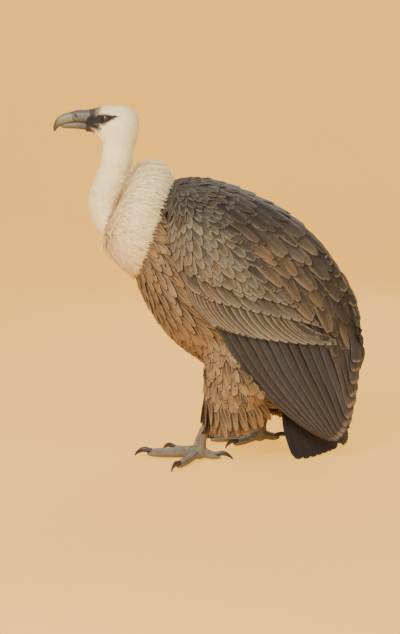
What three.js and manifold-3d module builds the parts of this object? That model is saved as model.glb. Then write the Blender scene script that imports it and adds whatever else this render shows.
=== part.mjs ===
// Griffon vulture (Gyps fulvus), an adult at rest: wings folded, neck in an S, tail tip down on the floor.
// Millimetres, +Z up. The bird faces -X and its left side faces -Y. The floor is z = 0.
//
// Bodies are lofts in the bird's own frame, whose x = 0 lies over the left foot; the finished group is then
// moved so that its origin is the middle of its footprint. Pieces that meet are parted by a GAP.
import * as THREE from "three";
import Module from "manifold-3d";

const wasm = await Module();
wasm.setup();

// ---------------------------------------------------------------- driving sizes
const GAP = 0.35; // clearance between two pieces that meet
const FOOT_SPREAD = 66; // each foot's centre from the bird's middle plane
const STRIDE = 140; // how far the right foot stands behind the left one
const TARSUS_THICK = 12; // radius of the shank
const PAD_RADIUS = 19; // ball of the foot
const TOE_RADIUS = 10.5;
const CLAW_RADIUS = 5.6;
const EYE_RADIUS = 10.5;
const WING_REACH = 400; // how far the wing's cutter clears what lies outside it
const TAIL_FEATHERS = 12;
const FLIGHT_FEATHERS = 10; // ridges across the folded quills
const COLOURS = {
  down: 0xe9dcc4,
  face: 0x6d625a,
  horn: 0x8b867a,
  eye: 0x3a2418,
  breast: 0xa97c4c,
  back: 0x6a5c50,
  covert: 0x8f7b62,
  quill: 0x4b423c,
  trouser: 0xad8153,
  shank: 0x8d857c,
  claw: 0x3f3732,
};

// ---------------------------------------------------------------- solids from rings of points
// A closed solid through rings of equal length, with a fan over each end.
function loft(rings) {
  const around = rings[0].length;
  const points = rings.flat();
  const faces = [];
  for (let i = 0; i + 1 < rings.length; i++) {
    for (let j = 0; j < around; j++) {
      const next = (j + 1) % around;
      const [a, b] = [i * around + j, i * around + next];
      faces.push([a, b, b + around], [a, b + around, a + around]);
    }
  }
  for (const [end, turned] of [[0, true], [rings.length - 1, false]]) {
    const middle = points.length;
    points.push(centreOf(rings[end]));
    for (let j = 0; j < around; j++) {
      const [a, b] = [end * around + j, end * around + ((j + 1) % around)];
      faces.push(turned ? [middle, b, a] : [middle, a, b]);
    }
  }
  return solidOf(points, faces);
}

function centreOf(points) {
  const sum = points.reduce((total, p) => total.add(p), new THREE.Vector3());
  return sum.divideScalar(points.length);
}

// Six times the volume that the faces enclose; it is negative where they face inwards.
function enclosed(points, faces) {
  return faces.reduce((sum, [a, b, c]) => sum + points[a].dot(points[b].clone().cross(points[c])), 0);
}

function solidOf(points, faces) {
  const outward = enclosed(points, faces) > 0 ? faces : faces.map(([a, b, c]) => [a, c, b]);
  const vertProperties = new Float32Array(points.flatMap((p) => p.toArray()));
  const triVerts = new Uint32Array(outward.flat());
  return new wasm.Manifold(new wasm.Mesh({ numProp: 3, vertProperties, triVerts }));
}

// A closed three.js geometry as a solid.
function solidOfGeometry(geometry) {
  const flat = geometry.index ? geometry.toNonIndexed() : geometry;
  const at = flat.getAttribute("position");
  const points = [];
  const known = new Map();
  const corner = (i) => {
    const p = new THREE.Vector3().fromBufferAttribute(at, i);
    const key = p.toArray().map((v) => Math.round(v * 1e4)).join();
    if (!known.has(key)) known.set(key, points.push(p) - 1);
    return known.get(key);
  };
  const faces = [];
  for (let i = 0; i < at.count; i += 3) {
    const face = [corner(i), corner(i + 1), corner(i + 2)];
    if (new Set(face).size === 3) faces.push(face);
  }
  return solidOf(points, faces);
}

const smooth = (points) => new THREE.CatmullRomCurve3(points, false, "centripetal");
const curveXZ = (pairs, y = 0) => smooth(pairs.map(([x, z]) => new THREE.Vector3(x, y, z)));
const curveOf = (values) => smooth(values.map((v, i) => new THREE.Vector3(v, i, 0)));
const power = (v, exponent) => Math.sign(v) * Math.abs(v) ** exponent;

// Rings between a lower and an upper line in the plane y = side. Each station gives low, high and half, the half
// width across the bird. round under 1 squares the section; top over 0 makes its upper half the wider one.
function bodyRings(stations, { steps, around, side = 0, round = 1, top = 0, grow = 0 }) {
  const low = curveXZ(stations.map((s) => s.low), side);
  const high = curveXZ(stations.map((s) => s.high), side);
  const half = curveOf(stations.map((s) => s.half));
  const rings = [];
  for (let i = 0; i <= steps; i++) {
    const t = i / steps;
    const [a, b] = [low.getPoint(t), high.getPoint(t)];
    const centre = a.clone().add(b).divideScalar(2);
    const up = b.clone().sub(a).divideScalar(2);
    const depth = up.length();
    up.normalize();
    const width = half.getPoint(t).x;
    const ring = [];
    for (let j = 0; j < around; j++) {
      const angle = (2 * Math.PI * j) / around;
      const [c, s] = [power(Math.cos(angle), round), power(Math.sin(angle), round)];
      const across = width * s * (1 + top * c);
      const normal = new THREE.Vector3(0, s * depth, 0).addScaledVector(up, c * width).normalize();
      ring.push(
        centre.clone()
          .addScaledVector(up, depth * c)
          .add(new THREE.Vector3(0, across, 0))
          .addScaledVector(normal, grow),
      );
    }
    rings.push(ring);
  }
  if (grow) lengthen(rings, grow);
  return rings;
}

// Pushes the two end rings apart by grow.
function lengthen(rings, grow) {
  for (const [end, inner] of [[0, 1], [rings.length - 1, rings.length - 2]]) {
    const along = centreOf(rings[end]).sub(centreOf(rings[inner])).normalize();
    rings[end] = rings[end].map((p) => p.clone().addScaledVector(along, grow));
  }
}

// Rings round a path, each flattened by squash across the direction that aside gives.
function tubeRings(path, radii, { steps, around, aside = new THREE.Vector3(0, 1, 0), squash = 1, grow = 0 }) {
  const line = smooth(path);
  const radius = curveOf(radii);
  const rings = [];
  for (let i = 0; i <= steps; i++) {
    const t = i / steps;
    const ahead = line.getTangent(t);
    const across = aside.clone().addScaledVector(ahead, -aside.dot(ahead)).normalize();
    const up = ahead.clone().cross(across);
    const r = radius.getPoint(t).x + grow;
    const ring = [];
    for (let j = 0; j < around; j++) {
      const angle = (2 * Math.PI * j) / around;
      ring.push(
        line.getPoint(t)
          .addScaledVector(across, r * squash * Math.cos(angle))
          .addScaledVector(up, r * Math.sin(angle)),
      );
    }
    rings.push(ring);
  }
  if (grow) lengthen(rings, grow);
  return rings;
}

// Rings of a curved sheet of feathers. Each station gives its two edges, how far the middle bulges out along
// outward, and its thickness. Ridges, one for each feather, step the outer face. A cutter's outer face lies reach out.
function sheetRings(stations, { steps, feathers, ridge, outward, tips = 0, reach = 0, grow = 0 }) {
  const [one, other] = ["one", "other"].map((edge) => smooth(stations.map((s) => new THREE.Vector3(...s[edge]))));
  const bulge = curveOf(stations.map((s) => s.bulge));
  const thick = curveOf(stations.map((s) => s.thick));
  const rings = [];
  for (let i = 0; i <= steps; i++) {
    const t = i / steps;
    const [a, b] = [one.getPoint(t), other.getPoint(t)];
    const along = one.getTangent(t).add(other.getTangent(t)).normalize();
    const chord = b.clone().sub(a).normalize();
    const at = (u, height) => {
      const over = grow ? (2 * u - 1) * grow : 0;
      const arch = bulge.getPoint(t).x * Math.sin(Math.PI * u) ** 0.8;
      return a.clone().lerp(b, u).addScaledVector(chord, over).addScaledVector(outward, arch + height);
    };
    const outer = [];
    const inner = [];
    for (let k = 0; k < feathers; k++) {
      const [u0, u1] = [k / feathers, (k + 1) / feathers];
      const step = Math.min(ridge, bulge.getPoint(t).x / 4);
      const short = tips * Math.max(0, t * steps - steps + 1);
      const fromTip = (u, share) => at(u, reach).addScaledVector(along, -short * share);
      outer.push(fromTip(u0, 1).addScaledVector(outward, -step), fromTip((u0 + u1) / 2, 0));
      if (k === feathers - 1) outer.push(fromTip(1, 1));
    }
    const depth = (u) => thick.getPoint(t).x * (0.25 + 0.75 * Math.sin(Math.PI * u) ** 0.6) + grow;
    const inside = 6;
    for (let k = inside; k >= 0; k--) inner.push(at(k / inside, -depth(k / inside)));
    rings.push([...outer, ...inner]);
  }
  if (grow) lengthen(rings, grow);
  return rings;
}

// ---------------------------------------------------------------- cutting and joining
const boxSolid = (size, at, tilt = 0) =>
  solidOfGeometry(new THREE.BoxGeometry(...size).rotateY(tilt).translate(...at));
const ballSolid = (radius, at, [sx, sy, sz] = [1, 1, 1]) =>
  solidOfGeometry(new THREE.SphereGeometry(radius, 10, 7).scale(sx, sy, sz).translate(...at));
const minus = (solid, ...cutters) => largest(cutters.reduce((rest, cutter) => rest.subtract(cutter), solid));
const largest = (solid) => solid.decompose().sort((a, b) => b.volume() - a.volume())[0];

const FLOOR_DEPTH = 200;
const underFloor = boxSolid([2000, 2000, FLOOR_DEPTH], [0, 0, -FLOOR_DEPTH / 2]);
const onFloor = (solid) => largest(solid.subtract(underFloor));

// The same solid on the bird's other side.
const mirrored = (solid) => solid.mirror([0, 1, 0]);

// ---------------------------------------------------------------- outlines, front to back
const TRUNK = [
  { low: [-157, 441], high: [-88, 580], half: 62 },
  { low: [-146, 401], high: [-52, 605], half: 92 },
  { low: [-123, 339], high: [14, 609], half: 120 },
  { low: [-88, 281], high: [100, 581], half: 138 },
  { low: [-40, 234], high: [188, 536], half: 144 },
  { low: [18, 193], high: [256, 472], half: 137 },
  { low: [80, 154], high: [294, 384], half: 116 },
  { low: [136, 124], high: [299, 286], half: 88 },
  { low: [182, 106], high: [286, 210], half: 58 },
  { low: [214, 100], high: [258, 164], half: 28 },
];
const RUFF = [
  { low: [-136, 400], high: [-60, 592], half: 84 },
  { low: [-150, 401], high: [-73, 628], half: 100 },
  { low: [-170, 418], high: [-102, 642], half: 105 },
  { low: [-188, 440], high: [-131, 632], half: 97 },
  { low: [-203, 464], high: [-150, 606], half: 80 },
  { low: [-207, 488], high: [-160, 578], half: 58 },
];
const NECK = [
  { low: [-207, 680], high: [-140, 690], half: 31 },
  { low: [-211, 650], high: [-143, 657], half: 32 },
  { low: [-223, 611], high: [-150, 622], half: 35 },
  { low: [-237, 575], high: [-157, 590], half: 39 },
  { low: [-239, 540], high: [-162, 556], half: 42 },
  { low: [-227, 502], high: [-152, 534], half: 45 },
  { low: [-200, 467], high: [-138, 534], half: 50 },
  { low: [-165, 443], high: [-115, 543], half: 56 },
];
const HEAD = [
  { low: [-207, 667], high: [-140, 671], half: 31 },
  { low: [-209, 683], high: [-131, 702], half: 33 },
  { low: [-214, 690], high: [-128, 726], half: 36 },
  { low: [-220, 696], high: [-141, 750], half: 37 },
  { low: [-226, 700], high: [-160, 760], half: 36 },
  { low: [-231, 704], high: [-182, 762], half: 33 },
  { low: [-235, 706], high: [-204, 759], half: 27 },
  { low: [-238, 707], high: [-221, 755], half: 21 },
  { low: [-242, 709], high: [-236, 750], half: 17 },
];
const UPPER_BILL = [
  { low: [-229, 718], high: [-233, 751], half: 16.5 },
  { low: [-243, 722], high: [-244, 750], half: 16 },
  { low: [-258, 723], high: [-257, 750], half: 15 },
  { low: [-272, 722], high: [-271, 747], half: 13.5 },
  { low: [-283, 719], high: [-284, 744], half: 12 },
  { low: [-291, 718], high: [-296, 739], half: 10.5 },
  { low: [-298, 716], high: [-305, 732], half: 8.5 },
  { low: [-302, 713], high: [-310, 723], half: 6.2 },
  { low: [-306, 709], high: [-312.5, 714], half: 4 },
  { low: [-309.5, 704], high: [-311.5, 705], half: 1.6 },
];
const LOWER_BILL = [
  { low: [-230, 704], high: [-226, 722], half: 13 },
  { low: [-244, 708], high: [-243, 727], half: 12.5 },
  { low: [-258, 711], high: [-259, 728], half: 12 },
  { low: [-272, 711], high: [-274, 726], half: 10.5 },
  { low: [-286, 710.5], high: [-288, 723], half: 8.5 },
  { low: [-297, 711], high: [-298, 717], half: 5 },
];
// The left wing, from the bend of the wing to its tip; one is the leading edge, other the edge along the back.
const WING = [
  { one: [-65, -106, 560], other: [-38, -82, 592], bulge: 20, thick: 18 },
  { one: [-69, -122, 527], other: [10, -64, 599], bulge: 50, thick: 30 },
  { one: [-65, -128, 483], other: [76, -47, 588], bulge: 70, thick: 34 },
  { one: [-53, -130, 433], other: [150, -35, 556], bulge: 80, thick: 34 },
  { one: [-33, -128, 379], other: [220, -27, 508], bulge: 84, thick: 30 },
  { one: [0, -124, 323], other: [279, -20, 443], bulge: 82, thick: 26 },
  { one: [46, -118, 268], other: [320, -14, 366], bulge: 75, thick: 20 },
  { one: [91, -110, 212], other: [344, -11, 284], bulge: 64, thick: 16 },
  { one: [137, -100, 157], other: [355, -11, 199], bulge: 52, thick: 13 },
  { one: [188, -90, 106], other: [358, -15, 120], bulge: 38, thick: 11 },
  { one: [238, -78, 70], other: [354, -24, 68], bulge: 24, thick: 9 },
  { one: [282, -64, 44], other: [338, -38, 41], bulge: 10, thick: 7 },
];
const COVERT_END = { from: [10, 318], to: [283, 266] }; // where the coverts' tips leave the quills bare
const TAIL = [
  { one: [198, -24, 226], other: [250, 26, 232], bulge: 8, thick: 12 },
  { one: [186, -46, 150], other: [284, 40, 162], bulge: 18, thick: 10 },
  { one: [186, -64, 80], other: [316, 52, 88], bulge: 22, thick: 8 },
  { one: [203, -72, 28], other: [336, 56, 36], bulge: 21, thick: 6 },
  { one: [221, -74, -6], other: [346, 54, -2], bulge: 20, thick: 5 },
];
// Feathered thighs, from the flank down to the trousers' hem; the lines are front and back.
const LEFT_THIGH = [
  { low: [24, 300], high: [190, 286], half: 40 },
  { low: [10, 250], high: [180, 222], half: 50 },
  { low: [5, 194], high: [160, 168], half: 50 },
  { low: [5, 140], high: [132, 120], half: 42 },
  { low: [11, 98], high: [106, 88], half: 31 },
  { low: [24, 72], high: [82, 70], half: 19 },
];
const RIGHT_THIGH_BACK = [10, 34, 72, 104, 126, 138]; // how far each of those stands further back on the right
const THIGH_SIDE = 78;

// ---------------------------------------------------------------- body
const trunkShape = { steps: 17, around: 22, round: 0.95, top: 0.06 };
const thighShape = { steps: 8, around: 12 };
const ruffShape = { steps: 8, around: 22, round: 0.95 };
const headShape = { steps: 12, around: 18 };
const upperShape = { steps: 13, around: 12, round: 0.85 };
const lowerShape = { steps: 6, around: 10, round: 0.8 };
const wingShape = { steps: 14, feathers: FLIGHT_FEATHERS, ridge: 2.5, outward: new THREE.Vector3(0, -1, 0) };
const tailShape = {
  steps: 5,
  feathers: TAIL_FEATHERS,
  ridge: 2,
  tips: 9,
  outward: new THREE.Vector3(0.86, -0.2, 0.46).normalize(),
};
const body = (stations, shape) => loft(bodyRings(stations, shape));
const bodyCutter = (stations, shape) => loft(bodyRings(stations, { ...shape, grow: GAP }));

const wing = loft(sheetRings(WING, wingShape));
const wingCutter = loft(sheetRings(WING, { ...wingShape, ridge: 0, reach: WING_REACH, grow: GAP }));
const wingCutters = [wingCutter, mirrored(wingCutter)];

// A thin slab through the wing along the coverts' end.
function covertCut() {
  const [from, to] = [COVERT_END.from, COVERT_END.to].map(([x, z]) => new THREE.Vector2(x, z));
  const middle = from.clone().add(to).divideScalar(2);
  const slope = Math.atan2(to.y - from.y, to.x - from.x);
  return boxSolid([900, 700, GAP], [middle.x, 0, middle.y], -slope);
}
const wingParts = wing.subtract(covertCut()).decompose();
wingParts.sort((a, b) => b.boundingBox().max[2] - a.boundingBox().max[2]);
const [coverts, quills] = wingParts;

const ruff = minus(body(RUFF, ruffShape), ...wingCutters);
const ruffCutter = bodyCutter(RUFF, ruffShape);
const trunk = minus(body(TRUNK, trunkShape), ruffCutter, ...wingCutters);
const trunkCutter = bodyCutter(TRUNK, trunkShape);
const headCutter = bodyCutter(HEAD, headShape);
const neck = minus(body(NECK, { steps: 12, around: 18 }), headCutter, ruffCutter);

// ---------------------------------------------------------------- head
const EYE = { x: -197, side: 26.2, z: 732 };
const eyeBall = (sign, grow = 0) => ballSolid(EYE_RADIUS + grow, [EYE.x, sign * EYE.side, EYE.z]);
const upperBill = body(UPPER_BILL, upperShape);
const upperCutter = bodyCutter(UPPER_BILL, upperShape);
const lowerBill = minus(body(LOWER_BILL, lowerShape), upperCutter);
const lowerCutter = bodyCutter(LOWER_BILL, lowerShape);
const head = minus(body(HEAD, headShape), upperCutter, lowerCutter, eyeBall(-1, GAP), eyeBall(1, GAP));

// ---------------------------------------------------------------- tail
const tail = onFloor(minus(loft(sheetRings(TAIL, tailShape)), trunkCutter, ...wingCutters));

// ---------------------------------------------------------------- legs
// A leg on the side that sign gives, standing back mm behind the left foot.
function leg(sign, back, thighStations) {
  const side = sign * FOOT_SPREAD;
  const place = (x, out, z) => new THREE.Vector3(x + back, side + sign * out, z);
  const shankPath = [place(66, 12, 150), place(34, 8, 100), place(6, 2, 56), place(-1, 0, 22)];
  const shankRadii = [15, TARSUS_THICK, TARSUS_THICK, 15];
  const shankShape = { steps: 5, around: 10 };
  const ball = ballSolid(PAD_RADIUS, [back - 2, side, 16], [1, 1, 0.92]);
  const foot = onFloor(loft(tubeRings(shankPath, shankRadii, shankShape)).add(ball));
  const footCutter = loft(tubeRings(shankPath, shankRadii, { ...shankShape, grow: GAP }))
    .add(ballSolid(PAD_RADIUS + GAP, [back - 2, side, 16], [1, 1, 0.92]));
  const thighShapeHere = { ...thighShape, side: sign * THIGH_SIDE };
  const thigh = minus(body(thighStations, thighShapeHere), trunkCutter, ...wingCutters, footCutter);
  const thighCutter = body(thighStations, { ...thighShapeHere, grow: GAP });
  return { thigh, shank: minus(foot, thighCutter), toes: TOES.map((toe) => toeOf(toe, sign, back, footCutter)) };
}

// turn is the toe's heading from straight ahead, towards the outside of the foot; lengths are without the claw.
const TOES = [
  { name: "hind", turn: 172, length: 44, claw: 33, thick: 0.92 },
  { name: "inner", turn: -38, length: 74, claw: 31, thick: 1 },
  { name: "middle", turn: -7, length: 112, claw: 33, thick: 1.08 },
  { name: "outer", turn: 58, length: 84, claw: 28, thick: 0.95 },
];

function toeOf({ name, turn, length, claw, thick }, sign, back, footCutter) {
  const angle = THREE.MathUtils.degToRad(turn);
  const ahead = new THREE.Vector3(-Math.cos(angle), sign * Math.sin(angle), 0);
  const aside = new THREE.Vector3(ahead.y, -ahead.x, 0);
  const start = new THREE.Vector3(back - 2, sign * FOOT_SPREAD, 0);
  const point = (out, z) => start.clone().addScaledVector(ahead, out).setZ(z);
  const r = TOE_RADIUS * thick;
  const path = [
    point(8, 17),
    point(0.3 * length, 14),
    point(0.62 * length, r - 0.3),
    point(0.93 * length, 0.9 * r - 0.3),
    point(length + 5, 0.8 * r),
  ];
  const radii = [1.25 * r, 1.12 * r, r, 0.9 * r, 0.5 * r];
  const clawPath = [
    point(length - 7, r + 2.5),
    point(length + 0.3 * claw, r + 5.5),
    point(length + 0.72 * claw, r - 0.5),
    point(length + 0.94 * claw, 1.6),
  ];
  const c = CLAW_RADIUS * thick;
  const clawShape = { steps: 5, around: 8, aside, squash: 0.8 };
  const clawRadii = [c, c, 0.62 * c, 0.9];
  const clawSolid = onFloor(loft(tubeRings(clawPath, clawRadii, clawShape)));
  const clawCutter = loft(tubeRings(clawPath, clawRadii, { ...clawShape, grow: GAP }));
  const toeShape = { steps: 6, around: 8, aside };
  const toe = minus(onFloor(loft(tubeRings(path, radii, toeShape))), footCutter, clawCutter);
  return { name, toe, claw: clawSolid, cutter: loft(tubeRings(path, radii, { ...toeShape, grow: GAP })) };
}

// Toes of one foot meet near its ball, so each is cut back from those before it.
function parted(toes) {
  return toes.map(({ name, toe, claw }, i) => ({
    name,
    claw,
    toe: minus(toe, ...toes.slice(0, i).map((before) => before.cutter)),
  }));
}

const rightThigh = LEFT_THIGH.map(({ low, high, half }, i) => ({
  low: [low[0] + RIGHT_THIGH_BACK[i], low[1]],
  high: [high[0] + RIGHT_THIGH_BACK[i], high[1]],
  half,
}));
const legs = { left: leg(-1, 0, LEFT_THIGH), right: leg(1, STRIDE, rightThigh) };

// ---------------------------------------------------------------- the named pieces
const vulture = new THREE.Group();

function piece(name, solid, colour, roughness = 0.8) {
  const { vertProperties, triVerts } = solid.getMesh();
  const geometry = new THREE.BufferGeometry()
    .setAttribute("position", new THREE.BufferAttribute(vertProperties, 3))
    .setIndex(new THREE.BufferAttribute(triVerts, 1));
  geometry.computeVertexNormals();
  const mesh = new THREE.Mesh(geometry, new THREE.MeshStandardMaterial({ color: colour, roughness, metalness: 0 }));
  mesh.name = name;
  vulture.add(mesh);
}

piece("trunk", trunk, COLOURS.breast);
piece("ruff", ruff, COLOURS.down);
piece("neck", neck, COLOURS.down);
piece("head", head, COLOURS.down);
piece("bill_upper", upperBill, COLOURS.horn, 0.4);
piece("bill_lower", lowerBill, COLOURS.horn, 0.4);
piece("eye_left", eyeBall(-1), COLOURS.eye, 0.1);
piece("eye_right", eyeBall(1), COLOURS.eye, 0.1);
piece("wing_left", coverts, COLOURS.covert);
piece("wing_right", mirrored(coverts), COLOURS.covert);
piece("quills_left", quills, COLOURS.quill);
piece("quills_right", mirrored(quills), COLOURS.quill);
piece("tail", tail, COLOURS.quill);
for (const [side, { thigh, shank, toes }] of Object.entries(legs)) {
  piece(`thigh_${side}`, thigh, COLOURS.trouser);
  piece(`shank_${side}`, shank, COLOURS.shank, 0.6);
  for (const { name, toe, claw } of parted(toes)) {
    piece(`toe_${side}_${name}`, toe, COLOURS.shank, 0.6);
    piece(`claw_${side}_${name}`, claw, COLOURS.claw, 0.35);
  }
}

// The origin is the middle of the footprint, on the floor.
const bounds = new THREE.Box3().setFromObject(vulture);
const middle = bounds.getCenter(new THREE.Vector3());
vulture.position.set(-middle.x, -middle.y, -bounds.min.z);

export default vulture;
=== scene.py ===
# Griffon vulture: skin, plumage, bill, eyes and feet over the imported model.
# Row frame, metres, +Z up; the bird faces -X and its left side faces -Y.
import math

import bmesh
import bpy
import numpy as np
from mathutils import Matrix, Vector
from mathutils.bvhtree import BVHTree


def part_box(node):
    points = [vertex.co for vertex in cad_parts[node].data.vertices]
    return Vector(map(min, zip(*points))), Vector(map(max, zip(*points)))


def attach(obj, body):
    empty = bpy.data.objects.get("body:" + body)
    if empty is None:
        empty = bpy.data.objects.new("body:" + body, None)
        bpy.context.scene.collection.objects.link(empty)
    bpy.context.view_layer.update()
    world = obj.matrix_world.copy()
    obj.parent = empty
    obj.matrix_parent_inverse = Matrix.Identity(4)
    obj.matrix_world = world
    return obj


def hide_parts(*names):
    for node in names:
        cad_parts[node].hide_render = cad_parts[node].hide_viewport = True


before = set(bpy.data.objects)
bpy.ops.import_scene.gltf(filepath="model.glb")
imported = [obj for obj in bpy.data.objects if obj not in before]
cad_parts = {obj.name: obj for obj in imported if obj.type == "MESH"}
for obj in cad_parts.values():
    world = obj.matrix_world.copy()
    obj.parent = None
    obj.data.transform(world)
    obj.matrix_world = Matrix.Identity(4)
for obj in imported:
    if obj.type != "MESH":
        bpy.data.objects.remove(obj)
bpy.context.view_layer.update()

random = np.random.default_rng(7)

# ------------------------------------------------------------------ the bird's own frame, in millimetres
# Outlines below are in part.mjs's bird frame. Its place in the row frame comes from the left eye.
EYE_PLACE = Vector((-197, -26.2, 732))
EYE_RADIUS = 10.5
eye_low, eye_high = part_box("eye_left")
SHIFT = (eye_low + eye_high) / 2 - EYE_PLACE / 1000


def mm(x, y, z):
    """A place given in millimetres in the bird's frame, as a place in the row frame."""
    return Vector((x, y, z)) / 1000 + SHIFT


def to_row(points):
    return np.asarray(points, float) / 1000 + np.array(SHIFT)


def to_bird(points):
    return (np.asarray(points, float) - np.array(SHIFT)) * 1000


def spline(stations, t):
    """A smooth curve through evenly numbered stations. t runs from 0 to 1, may be an array, and goes
    straight on past the last station."""
    stations = np.asarray(stations, float)
    t = np.atleast_1d(np.asarray(t, float))
    last = len(stations) - 1
    at = np.clip(t, 0, 1) * last
    i = np.minimum(at.astype(int), last - 1)
    f = at - i
    p0, p1 = stations[np.maximum(i - 1, 0)], stations[i]
    p2, p3 = stations[i + 1], stations[np.minimum(i + 2, last)]
    f = f.reshape(-1, *([1] * (stations.ndim - 1)))
    out = 0.5 * (2 * p1 + (p2 - p0) * f + (2 * p0 - 5 * p1 + 4 * p2 - p3) * f**2
                 + (3 * p1 - p0 - 3 * p2 + p3) * f**3)
    past = (t - np.clip(t, 0, 1)).reshape(f.shape)
    return out + past * last * (p2 - p1)


def unit(v):
    v = np.asarray(v, float)
    return v / np.maximum(np.linalg.norm(v, axis=-1, keepdims=True), 1e-12)


def srgb(red, green, blue):
    c = np.array([red, green, blue], float) / 255
    return np.where(c <= 0.04045, c / 12.92, ((c + 0.055) / 1.055) ** 2.4)


# ------------------------------------------------------------------ colours
LIGHT_LEVEL = 2.3  # how much brighter than its colour a lit surface shows, which plumage colours allow for


def ink(red, green, blue):
    """A colour that shows as these sRGB values under the scene's lights."""
    return srgb(red, green, blue) / LIGHT_LEVEL


PAPER = srgb(224, 186, 130)
PAPER_GLOW = (1.36, 0.66, 0.06)
MANTLE = ink(103, 87, 66)
SCAPULAR = ink(148, 121, 87)
GREY_COVERT = ink(96, 86, 76)
LESSER = ink(166, 144, 112)
MEDIAN = ink(168, 146, 114)
GREATER = ink(150, 130, 104)
QUILL = ink(106, 97, 90)
QUILL_TIP = ink(216, 178, 130)
TAIL = ink(56, 45, 38)
BREAST = ink(196, 152, 100)
BELLY = ink(222, 182, 128)
THIGH = ink(192, 146, 94)
# painted light: the vent is coloured paler and cooler than its own golden buff, to make up for the wing's
# shadow and the orange light thrown up from the floor
VENT_PAINTED_LIGHT = ink(228, 212, 176)
DOWN = np.array([0.98, 0.76, 0.38])
RUFF = np.array([0.97, 0.74, 0.36])
# painted shade: the colour that down darkens to towards its roots
DOWN_ROOT_SHADE = ink(170, 150, 120)
# painted shade: the dark of the bill's nostrils, of the groove at the cere's edge and of the line where its
# two halves meet
BILL_CREASE_SHADE = ink(72, 50, 32)
FACE = ink(92, 78, 66)
SHANK = ink(172, 152, 122)
CLAW = ink(66, 54, 46)
HORN = ink(164, 151, 106)
CERE = ink(130, 119, 98)


# ------------------------------------------------------------------ meshes from arrays
def mesh_of(name, points, quads, uv=None, attributes=()):
    """An object from corner points and quads. Attributes are (name, type, values per point)."""
    mesh = bpy.data.meshes.new(name)
    points = np.asarray(points, np.float32).reshape(-1, 3)
    quads = np.asarray(quads, np.int32).reshape(-1, 4)
    mesh.vertices.add(len(points))
    mesh.vertices.foreach_set("co", points.ravel())
    mesh.loops.add(quads.size)
    mesh.loops.foreach_set("vertex_index", quads.ravel())
    mesh.polygons.add(len(quads))
    mesh.polygons.foreach_set("loop_start", np.arange(0, quads.size, 4, dtype=np.int32))
    mesh.update(calc_edges=True)
    mesh.polygons.foreach_set("use_smooth", np.ones(len(quads), bool))
    if uv is not None:
        layer = mesh.uv_layers.new(name="OFBake")
        layer.data.foreach_set("uv", np.asarray(uv, np.float32).reshape(-1, 2)[quads.ravel()].ravel())
    key = {"FLOAT_COLOR": "color", "FLOAT_VECTOR": "vector", "FLOAT": "value"}
    for label, kind, values in attributes:
        data = mesh.attributes.new(label, kind, "POINT").data
        data.foreach_set(key[kind], np.asarray(values, np.float32).ravel())
    obj = bpy.data.objects.new(name, mesh)
    bpy.context.scene.collection.objects.link(obj)
    return obj


def opaque(colours, copies=1):
    """Colours with an alpha of 1, each given to all the points of its own grid."""
    colours = np.repeat(np.asarray(colours, float).reshape(-1, 3), copies, axis=0)
    return np.concatenate([colours, np.ones((len(colours), 1))], 1)


def painted(name, points, quads, tint):
    """A piece given in the bird's frame, with one colour for each point."""
    return mesh_of(name, to_row(points), quads, None, [("tint", "FLOAT_COLOR", opaque(tint))])


def grid_places(along, across, chance):
    """For each point of several equal grids: its place across, its place along, and its grid's own
    number."""
    shape = (len(chance), len(along), len(across))
    parts = (across, along[:, None], chance[:, None, None])
    return np.stack([np.broadcast_to(part, shape) for part in parts], -1).reshape(-1, 3)


def grid_quads(count, rows, columns, closed=False):
    """Quads of count separate grids, each of rows by columns points; closed joins the last column to the
    first."""
    across = columns if closed else columns - 1
    i, j = np.meshgrid(np.arange(rows - 1), np.arange(across), indexing="ij")
    nxt = (j + 1) % columns
    one = np.stack([i * columns + j, i * columns + nxt, (i + 1) * columns + nxt, (i + 1) * columns + j], -1)
    return (one.reshape(1, -1, 4) + (np.arange(count) * rows * columns).reshape(-1, 1, 1)).reshape(-1, 4)


def kept(obj, material, slot, *nodes):
    """Gives a finished piece its material and its body, and hides the nodes that it stands for; slot is not
    used.
    """
    obj.data.materials.clear()
    obj.data.materials.append(material)
    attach(obj, "root")
    if nodes:
        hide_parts(*nodes)
    return obj


# ------------------------------------------------------------------ smooth forms of the flesh
SIDES = ("left", "right")
TOES = ("hind", "inner", "middle", "outer")
FEET = [f"shank_{s}" for s in SIDES] + [f"toe_{s}_{t}" for s in SIDES for t in TOES]
FLESH = ["trunk", "ruff", "neck", "head"] + [f"{n}_{s}" for n in ("wing", "thigh") for s in SIDES] + FEET


def united(nodes, voxel, rounds):
    """One smooth closed mesh round several nodes."""
    joined = bmesh.new()
    for node in nodes:
        joined.from_mesh(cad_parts[node].data)
    mesh = bpy.data.meshes.new("united")
    joined.to_mesh(mesh)
    joined.free()
    return remeshed(mesh, voxel, rounds)


def remeshed(mesh, voxel, rounds):
    """A mesh drawn again with even faces, overlapping parts made one, and smoothed."""
    obj = bpy.data.objects.new("united", mesh)
    bpy.context.scene.collection.objects.link(obj)
    remesh = obj.modifiers.new("remesh", "REMESH")
    remesh.mode = "VOXEL"
    remesh.voxel_size = voxel
    smooth = obj.modifiers.new("smooth", "SMOOTH")
    smooth.iterations = rounds
    made = bpy.data.meshes.new_from_object(obj.evaluated_get(bpy.context.evaluated_depsgraph_get()))
    bpy.data.objects.remove(obj)
    largest_island(made)
    return made


def largest_island(mesh):
    """Leaves a mesh only its largest connected part."""
    bm = bmesh.new()
    bm.from_mesh(mesh)
    seen = set()
    islands = []
    for start in bm.verts:
        if start in seen:
            continue
        seen.add(start)
        island, stack = [start], [start]
        while stack:
            for edge in stack.pop().link_edges:
                for v in edge.verts:
                    if v not in seen:
                        seen.add(v)
                        island.append(v)
                        stack.append(v)
        islands.append(island)
    islands.sort(key=len)
    for island in islands[:-1]:
        bmesh.ops.delete(bm, geom=island, context="VERTS")
    bm.to_mesh(mesh)
    bm.free()


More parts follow.
